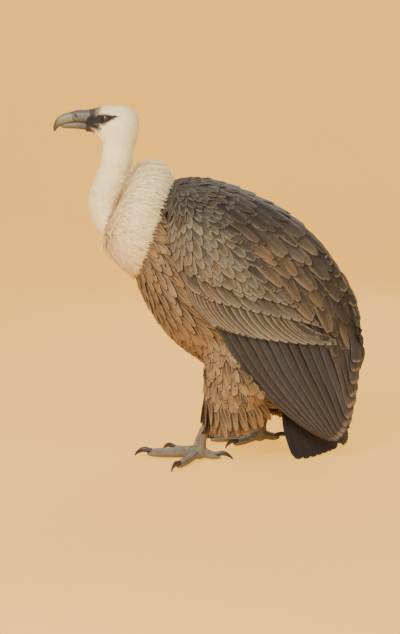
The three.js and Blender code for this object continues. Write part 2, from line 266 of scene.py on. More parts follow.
def arrays(mesh):
    """A mesh's points and their normals."""
    points = np.empty(len(mesh.vertices) * 3, np.float32)
    mesh.vertices.foreach_get("co", points)
    normals = np.empty(len(mesh.vertices) * 3, np.float32)
    mesh.vertices.foreach_get("normal", normals)
    return points.reshape(-1, 3).astype(float), normals.reshape(-1, 3).astype(float)


class Form:
    """A closed surface that feathers are laid on."""

    def __init__(self, nodes, voxel, rounds):
        self.mesh = united(nodes, voxel, rounds)
        bm = bmesh.new()
        bm.from_mesh(self.mesh)
        self.tree = BVHTree.FromBMesh(bm)
        bm.free()
        _, self.normals = arrays(self.mesh)
        self.corners = [tuple(p.vertices) for p in self.mesh.polygons]

    def nearest(self, point):
        place, _, face, _ = self.tree.find_nearest(Vector(point))
        return np.array(place), unit(self.normals[list(self.corners[face])].mean(0))

    def hit(self, start, heading):
        place, _, face, _ = self.tree.ray_cast(Vector(start), Vector(heading))
        if place is None:
            return None, None
        return np.array(place), unit(self.normals[list(self.corners[face])].mean(0))


# ------------------------------------------------------------------ outlines, as in part.mjs
TRUNK_LOW = [(-157, 441), (-146, 401), (-123, 339), (-88, 281), (-40, 234), (18, 193), (80, 154), (136, 124),
             (182, 106), (214, 100)]
TRUNK_HIGH = [(-88, 580), (-52, 605), (14, 609), (100, 581), (188, 536), (256, 472), (294, 384), (299, 286),
              (286, 210), (258, 164)]
NECK_LOW = [(-207, 680), (-211, 650), (-223, 611), (-237, 575), (-239, 540), (-227, 502), (-200, 467)]
NECK_HIGH = [(-140, 690), (-143, 657), (-150, 622), (-157, 590), (-162, 556), (-152, 534), (-138, 534)]
THIGH_LOW = [(24, 300), (10, 250), (5, 194), (5, 140), (11, 98), (24, 72)]
THIGH_HIGH = [(190, 286), (180, 222), (160, 168), (132, 120), (106, 88), (82, 70)]
RIGHT_THIGH_BACK = [10, 34, 72, 104, 126, 138]
THIGH_SIDE = 78
STRIDE = 140
FOOT_SPREAD = 66
WING_FRONT = [(-65, -106, 560), (-69, -122, 527), (-65, -128, 483), (-53, -130, 433), (-33, -128, 379),
              (0, -124, 323), (46, -118, 268), (91, -110, 212), (137, -100, 157), (188, -90, 106),
              (238, -78, 70), (282, -64, 44)]
WING_BACK = [(-38, -82, 592), (10, -64, 599), (76, -47, 588), (150, -35, 556), (220, -27, 508),
             (279, -20, 443), (320, -14, 366), (344, -11, 284), (355, -11, 199), (358, -15, 120),
             (354, -24, 68), (338, -38, 41)]
TAIL_ONE = [(198, -24, 226), (186, -46, 150), (186, -64, 80), (203, -72, 28), (221, -74, -6)]
TAIL_OTHER = [(250, 26, 232), (284, 40, 162), (316, 52, 88), (336, 56, 36), (346, 54, -2)]
TAIL_BULGE = [8, 18, 22, 21, 20]
TAIL_OUTWARD = unit([0.86, -0.2, 0.46])
RUFF_LOW = [(-136, 400), (-150, 401), (-170, 418), (-188, 440), (-203, 464), (-207, 488)]
RUFF_HIGH = [(-60, 592), (-73, 628), (-102, 642), (-131, 632), (-150, 606), (-160, 578)]
# From the bill back over the crown and down the neck.
HEAD_LOW = [(-242, 709), (-238, 707), (-231, 704), (-220, 696), (-212, 687), (-207, 667)] + NECK_LOW[1:]
HEAD_HIGH = [(-236, 750), (-221, 755), (-182, 762), (-141, 750), (-128, 722), (-136, 680)] + NECK_HIGH[1:]
# The lie of the feathers on a wing, in the side view: x, z, and how many degrees below level they point.
WING_LIE = [(-65, 581, 75), (41, 601, 15), (142, 544, 32), (244, 477, 46), (298, 419, 54), (329, 330, 68),
            (331, 270, 80), (-45, 555, 85), (0, 550, 42), (-60, 501, 92), (-45, 466, 68), (-20, 390, 52),
            (20, 490, 58), (56, 509, 42), (85, 460, 38), (71, 422, 52), (130, 388, 34), (36, 378, 58),
            (100, 354, 50), (70, 518, 45), (140, 440, 58), (188, 393, 60), (260, 393, 64), (232, 333, 60)]
# The line down the wing behind which the scapulars hide the coverts, as (z, x).
SCAPULAR_LINE = [(560, 10), (527, 72), (500, 86), (457, 107), (415, 151), (380, 193), (329, 231), (287, 282)]


LIE_REACH = 12  # how near a control has to be to rule the lie by itself, in mm


def lie(controls, places):
    """Headings at places, from the control values near them."""
    controls = np.asarray(controls, float)
    gap = np.linalg.norm(places[:, None, [0, 2]] - controls[None, :, :2], axis=-1)
    share = 1 / (gap + LIE_REACH) ** 3
    share /= share.sum(1, keepdims=True)
    angle = np.radians(controls[:, 2])
    return unit(np.stack([(share * np.cos(angle)).sum(1), np.zeros(len(places)),
                          -(share * np.sin(angle)).sum(1)], -1))


def behind_line(places):
    """How far places lie behind the scapulars' line, in mm."""
    z, x = np.array(sorted(SCAPULAR_LINE)).T
    return places[:, 0] - np.interp(places[:, 2], z, x)


# ------------------------------------------------------------------ roots on a form
RAY_START = 400  # further from a form's middle than any of it reaches, in mm


class Round:
    """Roots on rings round an axis in the plane y = side. Angle 0 is the high line, 180 degrees the low
    one."""

    def __init__(self, form, low, high, side=0.0, reach=RAY_START / 1000):
        self.form, self.low, self.high, self.side, self.reach = form, low, high, side, reach
        t = np.linspace(0, 1, 60)
        middle = (spline(low, t) + spline(high, t)) / 2
        self.length = np.linalg.norm(np.diff(middle, axis=0), axis=1).sum()

    def at(self, t, angle):
        low, high = spline(self.low, t)[0], spline(self.high, t)[0]
        up = unit(high - low)
        way = np.array([up[0] * math.cos(angle), math.sin(angle), up[1] * math.cos(angle)])
        middle = (low + high) / 2
        start = to_row([middle[0], self.side, middle[1]])
        return self.form.hit(start + way * self.reach, -way)


class Sheet:
    """Roots on the outer face of the left (side -1) or right (side 1) wing; u runs from front edge to back
    edge."""

    def __init__(self, form, side):
        self.form, self.side = form, side

    def at(self, t, u):
        front, back = spline(WING_FRONT, t)[0], spline(WING_BACK, t)[0]
        place = front + (back - front) * u
        way = np.array([0.0, self.side, 0.0])
        return self.form.hit(to_row(place * np.array([1, -self.side, 1])) + way * RAY_START / 1000, -way)


PATCH_SHARE = 0.9  # how much of its cell on the map a feather's patch takes up


def laid_rows(surface, rows, span, pitch, samples=80):
    """Roots in staggered rows. rows are values of t; span(t) gives the first and last place along a row,
    and pitch or pitch(t) the distance between two roots in a row, in mm. Each root is (t, place, point,
    normal, patch)."""
    roots = []
    for number, t in enumerate(rows):
        first, last = span(t)
        line = [(place, surface.at(t, place)[0]) for place in np.linspace(first, last, samples)]
        line = [(place, point) for place, point in line if point is not None]
        if len(line) < 3:
            continue
        places, points = (np.array(values) for values in zip(*line))
        along = np.concatenate([[0], np.cumsum(np.linalg.norm(np.diff(points, axis=0), axis=1))]) * 1000
        gap = pitch(t) if callable(pitch) else pitch
        count = max(2, int(round(along[-1] / gap)))
        stagger = 0.25 if number % 2 else -0.25
        marks = (np.arange(count) + 0.5 + stagger) / count * along[-1]
        for column, place in enumerate(np.interp(marks, along, places)):
            point, normal = surface.at(t, place)
            if point is not None:
                patch = (column / count, number / len(rows), PATCH_SHARE / count, PATCH_SHARE / len(rows))
                roots.append((t, place, point, normal, patch))
    return roots


FIRST_WAY = np.array([0.5, 0, -0.8])
STEP_LIMITS = (1e-4, 0.1)


def headings(surface, roots, step=0.03):
    """The way each root's feather lies: towards the same place in a later row, or as the root before it."""
    ways = []
    for t, place, point, _, _ in roots:
        later, _ = surface.at(t + step, place)
        if later is None or not STEP_LIMITS[0] <= np.linalg.norm(later - point) <= STEP_LIMITS[1]:
            ways.append(ways[-1] if ways else FIRST_WAY)
        else:
            ways.append(unit(later - point))
    return np.array(ways)


# ------------------------------------------------------------------ vanes
def outline(along, kind):
    """A vane's half width, of 1 at its widest, along its length."""
    grow_from, grow_rate, round_from, power = OUTLINES[kind]
    grow = np.minimum(1, grow_from + grow_rate * along)
    last = np.clip((along - round_from) / (1 - round_from), 0, 1)
    return grow * np.sqrt(np.clip(1 - last**power, 0.004, 1)) ** (1.25 if kind == "pointed" else 1.0)


# For each kind: width at the root, how fast it grows, where it starts to round off, and how bluntly.
OUTLINES = {"pointed": (0.35, 1.7, 0.38, 1.5), "oval": (0.4, 1.5, 0.45, 1.8), "round": (0.4, 1.5, 0.60, 2.2),
            "quill": (0.5, 1.2, 0.80, 2.0), "blunt": (0.5, 1.2, 0.91, 2.0), "rectrix": (0.5, 0.6, 0.82, 2.2)}
CONTOUR_ALONG = np.array([0, 0.16, 0.34, 0.5, 0.64, 0.76, 0.86, 0.94, 1.0])
CONTOUR_ACROSS = np.array([-1, -0.55, 0, 0.55, 1.0])
QUILL_ALONG = np.concatenate([np.linspace(0, 0.86, 15), [0.9, 0.935, 0.965, 0.987, 1.0]])
QUILL_ACROSS = np.array([-1, -0.6, -0.2, -0.05, 0.05, 0.3, 0.65, 1.0])
BARB_SLANT = -0.9  # how much further towards the root a barb starts for each mm that it runs outwards


def vanes(form, points, normals, ways, length, width, kind, low, lift, tint, rim, patches, camber,
          along=CONTOUR_ALONG, across=CONTOUR_ACROSS, tilt=0.0, paths=None, hang=0.0, ragged=0.08):
    """Feathers laid on a form. Lengths, widths, low and lift are in mm, one value for each feather: a
    vane's root stands low mm over the form (under it where low is negative) and its tip lift mm higher.
    camber is how far its edges droop, as a share of its half width, and tilt how many mm its front edge
    stands over its middle."""
    count = len(points)
    sizes = (length, width, low, lift)
    length, width, low, lift = (np.broadcast_to(np.asarray(v, float), count) / 1000 for v in sizes)
    if paths is None:
        paths = walked(form, points, normals, ways, length, along, hang)
    centre, normal, heading = paths
    side = unit(np.cross(normal, heading))
    rise = low[:, None] + lift[:, None] * along[None, :] ** 0.8
    centre = centre + normal * rise[..., None]
    half = outline(along, kind)[None, :] * width[:, None] / 2
    jag = 1 + ragged * random.standard_normal((count, len(along), len(across))) * (np.abs(across) > 0.9)
    reach = across[None, None, :] * half[..., None] * jag
    drop = camber * (across[None, None, :] ** 2) * half[..., None] + tilt / 1000 * across[None, None, :]
    # barbs slant: the edges lie further towards the tip than the shaft does
    slant = 0.12 * np.abs(across)[None, None, :] * half[..., None] * (1 - along[None, :, None])
    place = (centre[:, :, None, :] + side[:, :, None, :] * reach[..., None]
             - normal[:, :, None, :] * drop[..., None] + heading[:, :, None, :] * slant[..., None])
    rows, columns = len(along), len(across)
    chance = random.random(count)
    barb = (along[None, :, None] * length[:, None, None] + np.abs(reach) * BARB_SLANT
            + chance[:, None, None] * 3)
    patches = np.asarray(patches)
    uv = np.empty((count, rows, columns, 2))
    uv[..., 0] = patches[:, 0, None, None] + (across[None, None, :] * 0.5 + 0.5) * patches[:, 2, None, None]
    uv[..., 1] = patches[:, 1, None, None] + along[None, :, None] * patches[:, 3, None, None]
    return dict(points=place.reshape(-1, 3), quads=grid_quads(count, rows, columns), uv=uv.reshape(-1, 2),
                vane=grid_places(along, across, chance), barb=barb.reshape(-1),
                tint=opaque(tint, rows * columns),
                rim=opaque(rim, rows * columns))


def walked(form, points, normals, ways, length, along, hang):
    """Paths that leave each root along its way and keep to the form. Where hang is over 0 they leave it
    instead, and turn down by that share."""
    count, rows = len(points), len(along)
    centre = np.empty((count, rows, 3))
    normal = np.empty((count, rows, 3))
    heading = np.empty((count, rows, 3))
    down = np.array([0, 0, -1.0])
    for i in range(count):
        here, up = np.array(points[i]), np.array(normals[i])
        way = np.array(ways[i])
        for k in range(rows):
            if k and hang:
                here = here + way * (along[k] - along[k - 1]) * length[i]
                way = unit(way + down * hang * (along[k] - along[k - 1]) * 2)
                up = unit(up - way * up.dot(way))
            elif k:
                here, now = form.nearest(here + way * (along[k] - along[k - 1]) * length[i])
                up = unit(up * 0.5 + now * 0.5)
            way = unit(way - up * way.dot(up))
            centre[i, k], normal[i, k], heading[i, k] = here, up, way
    return centre, normal, heading


def joined(name, parts):
    """One object from several sets of vanes or tufts."""
    start, quads = 0, []
    for part in parts:
        quads.append(part["quads"] + start)
        start += len(part["points"])
    keys = ("points", "uv", "vane", "barb", "tint", "rim")
    stack = {key: np.concatenate([part[key] for part in parts]) for key in keys}
    return mesh_of(name, stack["points"], np.concatenate(quads), stack["uv"],
                   [("vane", "FLOAT_VECTOR", stack["vane"]), ("barb", "FLOAT", stack["barb"]),
                    ("tint", "FLOAT_COLOR", stack["tint"]), ("rim", "FLOAT_COLOR", stack["rim"])])


def in_band(part, low, size):
    """Moves a part's patches into one band of the map, so that the tracts of a piece don't share a place."""
    part["uv"] = part["uv"] * np.array([1, size]) + np.array([0, low])
    return part


def varied(colour, count, amount=0.12, warm=0.05):
    """Copies of a colour that differ a little in brightness and warmth."""
    light = 1 + amount * random.standard_normal((count, 1))
    heat = warm * random.standard_normal((count, 1))
    return np.clip(np.asarray(colour).reshape(-1, 3) * light * (1 + heat * np.array([1, 0.2, -0.8])),
                   0.004, 1)


def mixed(a, b, share):
    share = np.asarray(share, float).reshape(-1, 1)
    return np.asarray(a) * (1 - share) + np.asarray(b) * share


def smoothstep(low, high, value):
    f = np.clip((np.asarray(value, float) - low) / (high - low), 0, 1)
    return f * f * (3 - 2 * f)


def unpack(roots):
    t, place, points, normals, patches = zip(*roots)
    return np.array(t), np.array(place), np.array(points), np.array(normals), np.array(patches)


def swung(ways, normals, degrees):
    """Ways turned about the normals by a random angle of about so many degrees."""
    angle = np.radians(degrees) * random.standard_normal((len(ways), 1))
    return unit(ways * np.cos(angle) + np.cross(normals, ways) * np.sin(angle))


# ------------------------------------------------------------------ materials
class Nodes:
    """Short ways to build a material's node tree."""

    def __init__(self, name):
        self.material = bpy.data.materials.new(name)
        self.material.use_nodes = True
        self.tree = self.material.node_tree
        self.shader = self.tree.nodes["Principled BSDF"]

    def new(self, kind, **values):
        node = self.tree.nodes.new(kind)
        for key, value in values.items():
            setattr(node, key, value)
        return node

    def put(self, socket, value):
        if isinstance(value, bpy.types.NodeSocket):
            self.tree.links.new(value, socket)
        elif isinstance(value, (tuple, list, np.ndarray)):
            socket.default_value = ((*value, 1.0) if len(value) == 3 and len(socket.default_value) == 4
                                    else tuple(value))
        else:
            socket.default_value = value

    def attribute(self, name, output="Color"):
        return self.new("ShaderNodeAttribute", attribute_name=name).outputs[output]

    def vane(self):
        """Sockets for a vane's own places: across, along, and its number."""
        parts = self.new("ShaderNodeSeparateXYZ")
        self.put(parts.inputs[0], self.attribute("vane", "Vector"))
        return parts.outputs

    def maths(self, operation, *values):
        node = self.new("ShaderNodeMath", operation=operation)
        for socket, value in zip(node.inputs, values):
            self.put(socket, value)
        return node.outputs[0]

    def mix(self, share, a, b):
        node = self.new("ShaderNodeMix", data_type="RGBA")
        self.put(node.inputs[0], share)
        self.put(node.inputs[6], a)
        self.put(node.inputs[7], b)
        return node.outputs[2]

    def ramp(self, value, low, high):
        node = self.new("ShaderNodeMapRange", interpolation_type="SMOOTHSTEP")
        self.put(node.inputs[0], value)
        self.put(node.inputs[1], low)
        self.put(node.inputs[2], high)
        return node.outputs[0]

    def noise(self, scale, vector=None, detail=3.0):
        node = self.new("ShaderNodeTexNoise")
        self.put(node.inputs["Scale"], scale)
        self.put(node.inputs["Detail"], detail)
        self.put(node.inputs["Vector"], vector or self.new("ShaderNodeTexCoord").outputs["Object"])
        return node.outputs["Fac"]

    def bump(self, height, strength, distance):
        node = self.new("ShaderNodeBump")
        self.put(node.inputs["Height"], height)
        self.put(node.inputs["Strength"], strength)
        self.put(node.inputs["Distance"], distance)
        self.put(self.shader.inputs["Normal"], node.outputs["Normal"])

    def finish(self, colour, roughness, **values):
        self.put(self.shader.inputs["Base Color"], colour)
        self.put(self.shader.inputs["Roughness"], roughness)
        for key, value in values.items():
            self.put(self.shader.inputs[key.replace("_", " ")], value)
        return self.material


BLACK = (0, 0, 0)
# painted shade: the dark colours that vanes take on towards their roots and along their edges
BASE_SHADE = (0.012, 0.009, 0.007)
EDGE_SHADE = (0.022, 0.015, 0.010)


def plumage(name, barb_size, pale, line, shaft, roughness=0.75, sheen=0.03, base_shade_share=0.75, side_share=1.0):
    """Vanes with barbs, a paler margin, a thin dark edge of painted shade and a shaft line, darkened by
    painted shade towards their roots, where the feathers above overlap them. Colours come from the feathers
    themselves. pale and line are (where it starts across the vane, how strong it is), and side_share is how
    strong the margin is along the sides, against 1 at the tip."""
    n = Nodes(name)
    tint, rim = n.attribute("tint"), n.attribute("rim")
    aside, along, number = n.vane()
    across = n.maths("ABSOLUTE", aside)
    tip = n.ramp(along, 0.86, 1.0)
    edge = n.maths("MAXIMUM", across, tip)
    margin = n.maths("MAXIMUM", n.maths("MULTIPLY", across, side_share), tip)
    place = n.new("ShaderNodeCombineXYZ")
    n.put(place.inputs[0], n.maths("MULTIPLY", n.attribute("barb", "Fac"), 1 / barb_size))
    n.put(place.inputs[1], n.maths("MULTIPLY", across, 1.2))
    n.put(place.inputs[2], n.maths("MULTIPLY", number, 40.0))
    barbs = n.noise(1.0, place.outputs[0], 2.0)
    wander = n.maths("MULTIPLY", n.maths("SUBTRACT", barbs, 0.5), 0.25)
    ragged = n.maths("ADD", edge, wander)
    # painted shade: each vane darkens towards its root, where the feather above overlaps it
    base = n.maths("SUBTRACT", 1.0, n.ramp(along, 0.45, 0.92))
    colour = n.mix(n.maths("MULTIPLY", base, base_shade_share), tint, n.mix(0.7, tint, BASE_SHADE))
    colour = n.mix(n.maths("MULTIPLY", n.ramp(n.maths("ADD", margin, wander), pale[0], 0.85), pale[1]),
                   colour, rim)
    streak = n.ramp(barbs, 0.30, 0.70)
    colour = n.mix(n.maths("MULTIPLY", n.maths("SUBTRACT", 1.0, streak), 0.38), colour,
                   n.mix(0.75, colour, BLACK))
    quill = n.maths("SUBTRACT", 1.0, n.ramp(across, 0.03, 0.11))
    colour = n.mix(n.maths("MULTIPLY", quill, 0.5), colour, shaft)
    # painted shade: a thin dark line along each vane's edge, for the shadow that the edge casts on the
    # feather under it
    colour = n.mix(n.maths("MULTIPLY", n.ramp(ragged, line[0], line[0] + 0.09), line[1]), colour, EDGE_SHADE)
    n.bump(n.maths("ADD", barbs, n.maths("MULTIPLY", quill, 0.8)), 0.55, 0.0007)
    return n.finish(colour, roughness, Sheen_Weight=sheen, Sheen_Roughness=0.5, Specular_IOR_Level=0.16)


def downy():
    """Loose white down, darkened towards its roots by painted shade."""
    n = Nodes("down")
    # painted shade: darker towards the roots of the down
    root = n.maths("SUBTRACT", 1.0, n.ramp(n.vane()[1], 0.0, 0.8))
    colour = n.mix(n.maths("MULTIPLY", root, 0.55), n.attribute("tint"), n.attribute("rim"))
    return n.finish(colour, 0.9, Sheen_Weight=0.2, Sheen_Roughness=0.6, Specular_IOR_Level=0.1)


VANES = plumage("vanes", 0.0016, (0.42, 0.7), (0.82, 0.92), ink(70, 56, 42))
BUFF_VANES = plumage("buff_vanes", 0.0016, (0.45, 0.4), (0.80, 0.92), ink(226, 192, 140))
QUILL_VANES = plumage("quill_vanes", 0.0018, (0.45, 0.75), (0.89, 0.92), ink(48, 40, 35), roughness=0.5,
                      sheen=0.04, base_shade_share=0.3, side_share=0.66)
DOWN_MATERIAL = downy()

# ------------------------------------------------------------------ camera, light and floor
CAMERA_AT = mm(0, -2200, 700)
CAMERA_PITCH = 10.214
CAMERA_LENS = 57.7
camera = bpy.data.objects.new("camera", bpy.data.cameras.new("camera"))
bpy.context.scene.collection.objects.link(camera)
camera.location = CAMERA_AT
camera.rotation_euler = (math.radians(90 - CAMERA_PITCH), 0, 0)
camera.data.lens = CAMERA_LENS
camera.data.sensor_width = 36
camera.data.sensor_fit = "AUTO"
camera.data.clip_end = 50
bpy.context.scene.camera = camera


def area_light(name, place, target, size, power, colour):
    light = bpy.data.lights.new(name, "AREA")
    light.energy, light.size, light.color = power, size, colour
    obj = bpy.data.objects.new(name, light)
    bpy.context.scene.collection.objects.link(obj)
    obj.location = place
    obj.rotation_euler = (Vector(target) - Vector(place)).to_track_quat("-Z", "Y").to_euler()


CHEST = mm(20, 0, 400)
area_light("key", mm(-1300, -1700, 1900), CHEST, 1.2, 95, (1.0, 0.985, 0.96))
area_light("fill", mm(1500, -2200, 900), CHEST, 2.4, 48, (0.94, 0.98, 1.0))
area_light("low", mm(-500, -1800, 160), mm(60, 0, 240), 1.6, 24, (0.55, 0.80, 1.0))
area_light("behind", mm(700, 1700, 1700), CHEST, 1.4, 45, (0.96, 0.98, 1.0))

world = bpy.data.worlds.new("world")
bpy.context.scene.world = world
world.use_nodes = True
world.node_tree.nodes["Background"].inputs["Color"].default_value = (0.84, 0.91, 1.0, 1)
world.node_tree.nodes["Background"].inputs["Strength"].default_value = 0.55


def backdrop():
    """A floor that curves up into a wall, in the tone of old paper."""
    far, bend, top = 2.6, 1.2, 3.5
    profile = [(-6.0, 0.0), (far, 0.0)]
    profile += [(far + bend * math.sin(a), bend - bend * math.cos(a)) for a in np.linspace(0.15, math.pi / 2,
                                                                                           12)]
    profile += [(far + bend, top)]
    points = [(x, y, z - 0.0005) for y, z in profile for x in (-7.0, 7.0)]
    obj = mesh_of("backdrop", points, grid_quads(1, len(profile), 2))
    n = Nodes("paper")
    tone = n.mix(n.ramp(n.noise(1.6, detail=4.0), 0.3, 0.75), PAPER, PAPER * 0.94)
    obj.data.materials.append(n.finish(n.mix(0.6, tone, BLACK), 0.95, Specular_IOR_Level=0.0,
                                       Emission_Color=PAPER_GLOW, Emission_Strength=1.0))


backdrop()

# ------------------------------------------------------------------ forms
SIGN = {"left": -1, "right": 1}
body_form = Form(["trunk", "ruff", "thigh_left", "thigh_right"], 0.005, 10)
wing_forms = {side: Form([f"wing_{side}", f"quills_{side}"], 0.004, 10) for side in SIDES}
whole_form = Form(FLESH[:8] + ["quills_left", "quills_right"], 0.005, 14)
head_form = Form(["head", "neck"], 0.003, 8)
ruff_form = Form(["ruff", "neck"], 0.004, 10)


# ------------------------------------------------------------------ body feathers
AHEAD = 40  # how far from its root a feather is looked at to tell whether it is kept, in mm


def tract(surface, rows, span, pitch, length, width, kind, low, lift, tint, rim, controls=None, keep=None,
          wobble=4, camber=0.24, hang=0.0):
    """One tract of contour feathers. Sizes and colours may be functions of t, place along the row and the
    place in the bird's frame; keep picks the roots to use, and wobble is how many degrees the feathers
    stray."""
    roots = laid_rows(surface, rows, span, pitch)
    t, place, points, normals, patches = unpack(roots)
    ways = headings(surface, roots) if controls is None else lie(controls, to_bird(points))
    bird = to_bird(points)
    if keep is not None:
        use = keep(bird + ways * AHEAD)
        values = (t, place, points, normals, patches, ways, bird)
        t, place, points, normals, patches, ways, bird = (v[use] for v in values)
    ways = swung(ways, normals, wobble)
    value = lambda v: v(t, place, bird) if callable(v) else v
    count = len(points)
    sizes = [value(v) * (0.93 + 0.14 * random.random(count)) for v in (length, width, lift)]
    return vanes(surface.form, points, normals, ways, sizes[0], sizes[1], kind, value(low), sizes[2],
                 varied(value(tint), count, 0.15, 0.08), varied(value(rim), count), patches,
                 camber, hang=hang)


def breast():
    """Pointed buff feathers over breast, belly and flanks."""
    surface = Round(body_form, TRUNK_LOW, TRUNK_HIGH)
    reach = lambda t: math.radians(float(np.interp(t, [0, 0.3, 0.6, 1], [128, 118, 112, 112])))

    def colour(t, place, bird):
        front = mixed(mixed(BREAST * 0.85, BREAST, smoothstep(0.0, 0.3, t)), BELLY, smoothstep(0.35, 0.7, t))
        aside = np.abs(place - math.pi) / math.radians(112)
        return front * (1 - 0.35 * smoothstep(0.62, 1.0, aside))[:, None]

    part = tract(surface, rows=np.linspace(-0.02, 0.97, 19),
                 span=lambda t: (math.pi - reach(t), math.pi + reach(t)),
                 pitch=20, length=78, width=27, kind="pointed", low=-8, lift=9, tint=colour, rim=BELLY * 1.3,
                 wobble=5, camber=0.3)
    kept(joined("breast_feathers", [part]), BUFF_VANES, "breast_feathers")


UNDER_WING = 24  # how far behind the wing's front edge a trouser feather may lie
WING_INNER = 84  # how far out from the middle the wings' inner faces lie there
HEM_HEIGHT = 56


def thighs():
    """Trousers: pointed buff feathers round each thigh, with a longer fringe at the hem."""
    x, _, z = np.array(WING_FRONT[::-1], float).T
    free = lambda tip: ((tip[:, 0] - np.interp(tip[:, 2], z, x) < UNDER_WING)
                        | (np.abs(tip[:, 1]) < WING_INNER))
    length = lambda t, place, bird: np.clip((bird[:, 2] - HEM_HEIGHT) / 0.97, 36, 74)
    for side in SIDES:
        back = np.zeros(6) if side == "left" else np.array(RIGHT_THIGH_BACK)
        low = [(x + b, z) for (x, z), b in zip(THIGH_LOW, back)]
        high = [(x + b, z) for (x, z), b in zip(THIGH_HIGH, back)]
        surface = Round(body_form, low, high, SIGN[side] * THIGH_SIDE)
        look = dict(span=lambda t: (0, 2 * math.pi), kind="pointed", tint=THIGH, rim=BELLY * 1.3, keep=free,
                    camber=0.26)
        part = tract(surface, rows=np.linspace(-0.05, 0.58, 7), pitch=19, length=78, width=28, low=-8,
                     lift=9, **look)
        fringe = tract(surface, rows=[0.60, 0.69, 0.77], pitch=17, length=length, width=25, low=-4, lift=3,
                       hang=0.08,
                       **look)
        parts = [in_band(part, 0, 0.7), in_band(fringe, 0.7, 0.3)]
        kept(joined(f"trouser_feathers_{side}", parts), BUFF_VANES, "breast_feathers")


def vent():
    """The golden tuft under the tail's root, coloured paler and cooler than its own buff as painted light
    against the shade under the wing and the floor's orange light.
    """
    surface = Round(body_form, TRUNK_LOW, TRUNK_HIGH)
    part = tract(surface, rows=np.linspace(0.80, 1.0, 5),
                 span=lambda t: (math.radians(90), math.radians(270)),
                 pitch=14, length=78, width=22, kind="pointed", low=-3, lift=14, tint=VENT_PAINTED_LIGHT, rim=VENT_PAINTED_LIGHT * 1.3,
                 wobble=7, camber=0.3)
    kept(joined("vent_feathers", [part]), BUFF_VANES, "breast_feathers")


def by_row(value):
    """A size that changes only from row to row, as tract asks for it."""
    return lambda t, place, bird: value(t)


def mantle():
    """Rows of dark feathers over the shoulders and down the back."""
    surface = Round(whole_form, TRUNK_LOW, TRUNK_HIGH)
    span = lambda t: math.radians(float(np.interp(t, [0, 0.08, 0.25, 0.5, 1.0], [64, 72, 68, 52, 24])))
    size = lambda t: 0.5 + 0.5 * smoothstep(0.0, 0.35, t)
    part = tract(surface, rows=np.linspace(0, 1, 23) ** 1.35 * 0.96 - 0.02,
                 span=lambda t: (-span(t), span(t)),
                 pitch=lambda t: 11 + 13 * float(smoothstep(0.0, 0.35, t)),
                 length=by_row(lambda t: 90 * size(t)),
                 width=by_row(lambda t: 34 * size(t)), kind="oval", low=-6,
                 lift=by_row(lambda t: 5 + 4 * size(t)),
                 tint=MANTLE, rim=LESSER, wobble=5)
    kept(joined("mantle_feathers", [part]), VANES, "covert_feathers")


INSIDE = 40  # a depth in mm inside the wings, from where the nearest place on them is looked up
FAN_ROUNDS = 3


def fan(form, sign, roots, tips, count, bow, width, low, lift, tilt, kind, tint, rim, camber=0.05, flat=0.0):
    """Long vanes side by side, each from a place on the line roots to one on the line tips, in the side
    view. bow is how far each bends aside, as a share of its length, and flat how far it faces sideways
    instead of the way that the form does."""
    shares = np.linspace(0, 1, count)
    starts, ends = spline(roots, shares), spline(tips, shares)
    bow = np.broadcast_to(bow, count)
    rows = len(QUILL_ALONG)
    centre = np.empty((count, rows, 3))
    normal = np.empty((count, rows, 3))
    for i in range(count):
        chord = ends[i] - starts[i]
        bend = np.array([chord[1], -chord[0]]) * bow[i]
        for k, f in enumerate(QUILL_ALONG):
            x, z = starts[i] + chord * f + bend * math.sin(math.pi * f)
            place, up = form.hit(to_row([x, sign * RAY_START, z]), (0, -sign, 0))
            if place is None and k:
                place, up = (centre[i, k - 1] + np.array([x - before[0], 0, z - before[1]]) / 1000,
                             normal[i, k - 1])
            elif place is None:
                place, up = form.nearest(to_row([x, sign * INSIDE, z]))
            before = (x, z)
            centre[i, k], normal[i, k] = place, up
    normal = unit(normal * (1 - flat) + np.array([0, sign * flat, 0]))
    for _ in range(FAN_ROUNDS):
        normal[:, 1:-1] = unit(normal[:, :-2] + normal[:, 1:-1] * 2 + normal[:, 2:])
        centre[:, 1:-1] = centre[:, :-2] * 0.25 + centre[:, 1:-1] * 0.5 + centre[:, 2:] * 0.25
    heading = np.gradient(centre, axis=1)
    heading = unit(heading - normal * (heading * normal).sum(-1, keepdims=True))
    return long_vanes(centre, normal, heading, width, kind, low, lift, tint(shares), rim(shares), camber,
                      tilt=-tilt * sign, ragged=0.015)


def long_vanes(centre, normal, heading, width, kind, low, lift, tint, rim, camber, **more):
    """Vanes along paths that are known, with their patches side by side on the map."""
    count = len(centre)
    length = np.linalg.norm(np.diff(centre, axis=1), axis=-1).sum(1) * 1000
    patches = [(i / count, 0, PATCH_SHARE / count, 1) for i in range(count)]
    return vanes(None, centre[:, 0], normal[:, 0], heading[:, 0], length, width, kind, low, lift, tint, rim,
                 patches,
                 camber, along=QUILL_ALONG, across=QUILL_ACROSS, paths=(centre, normal, heading), **more)


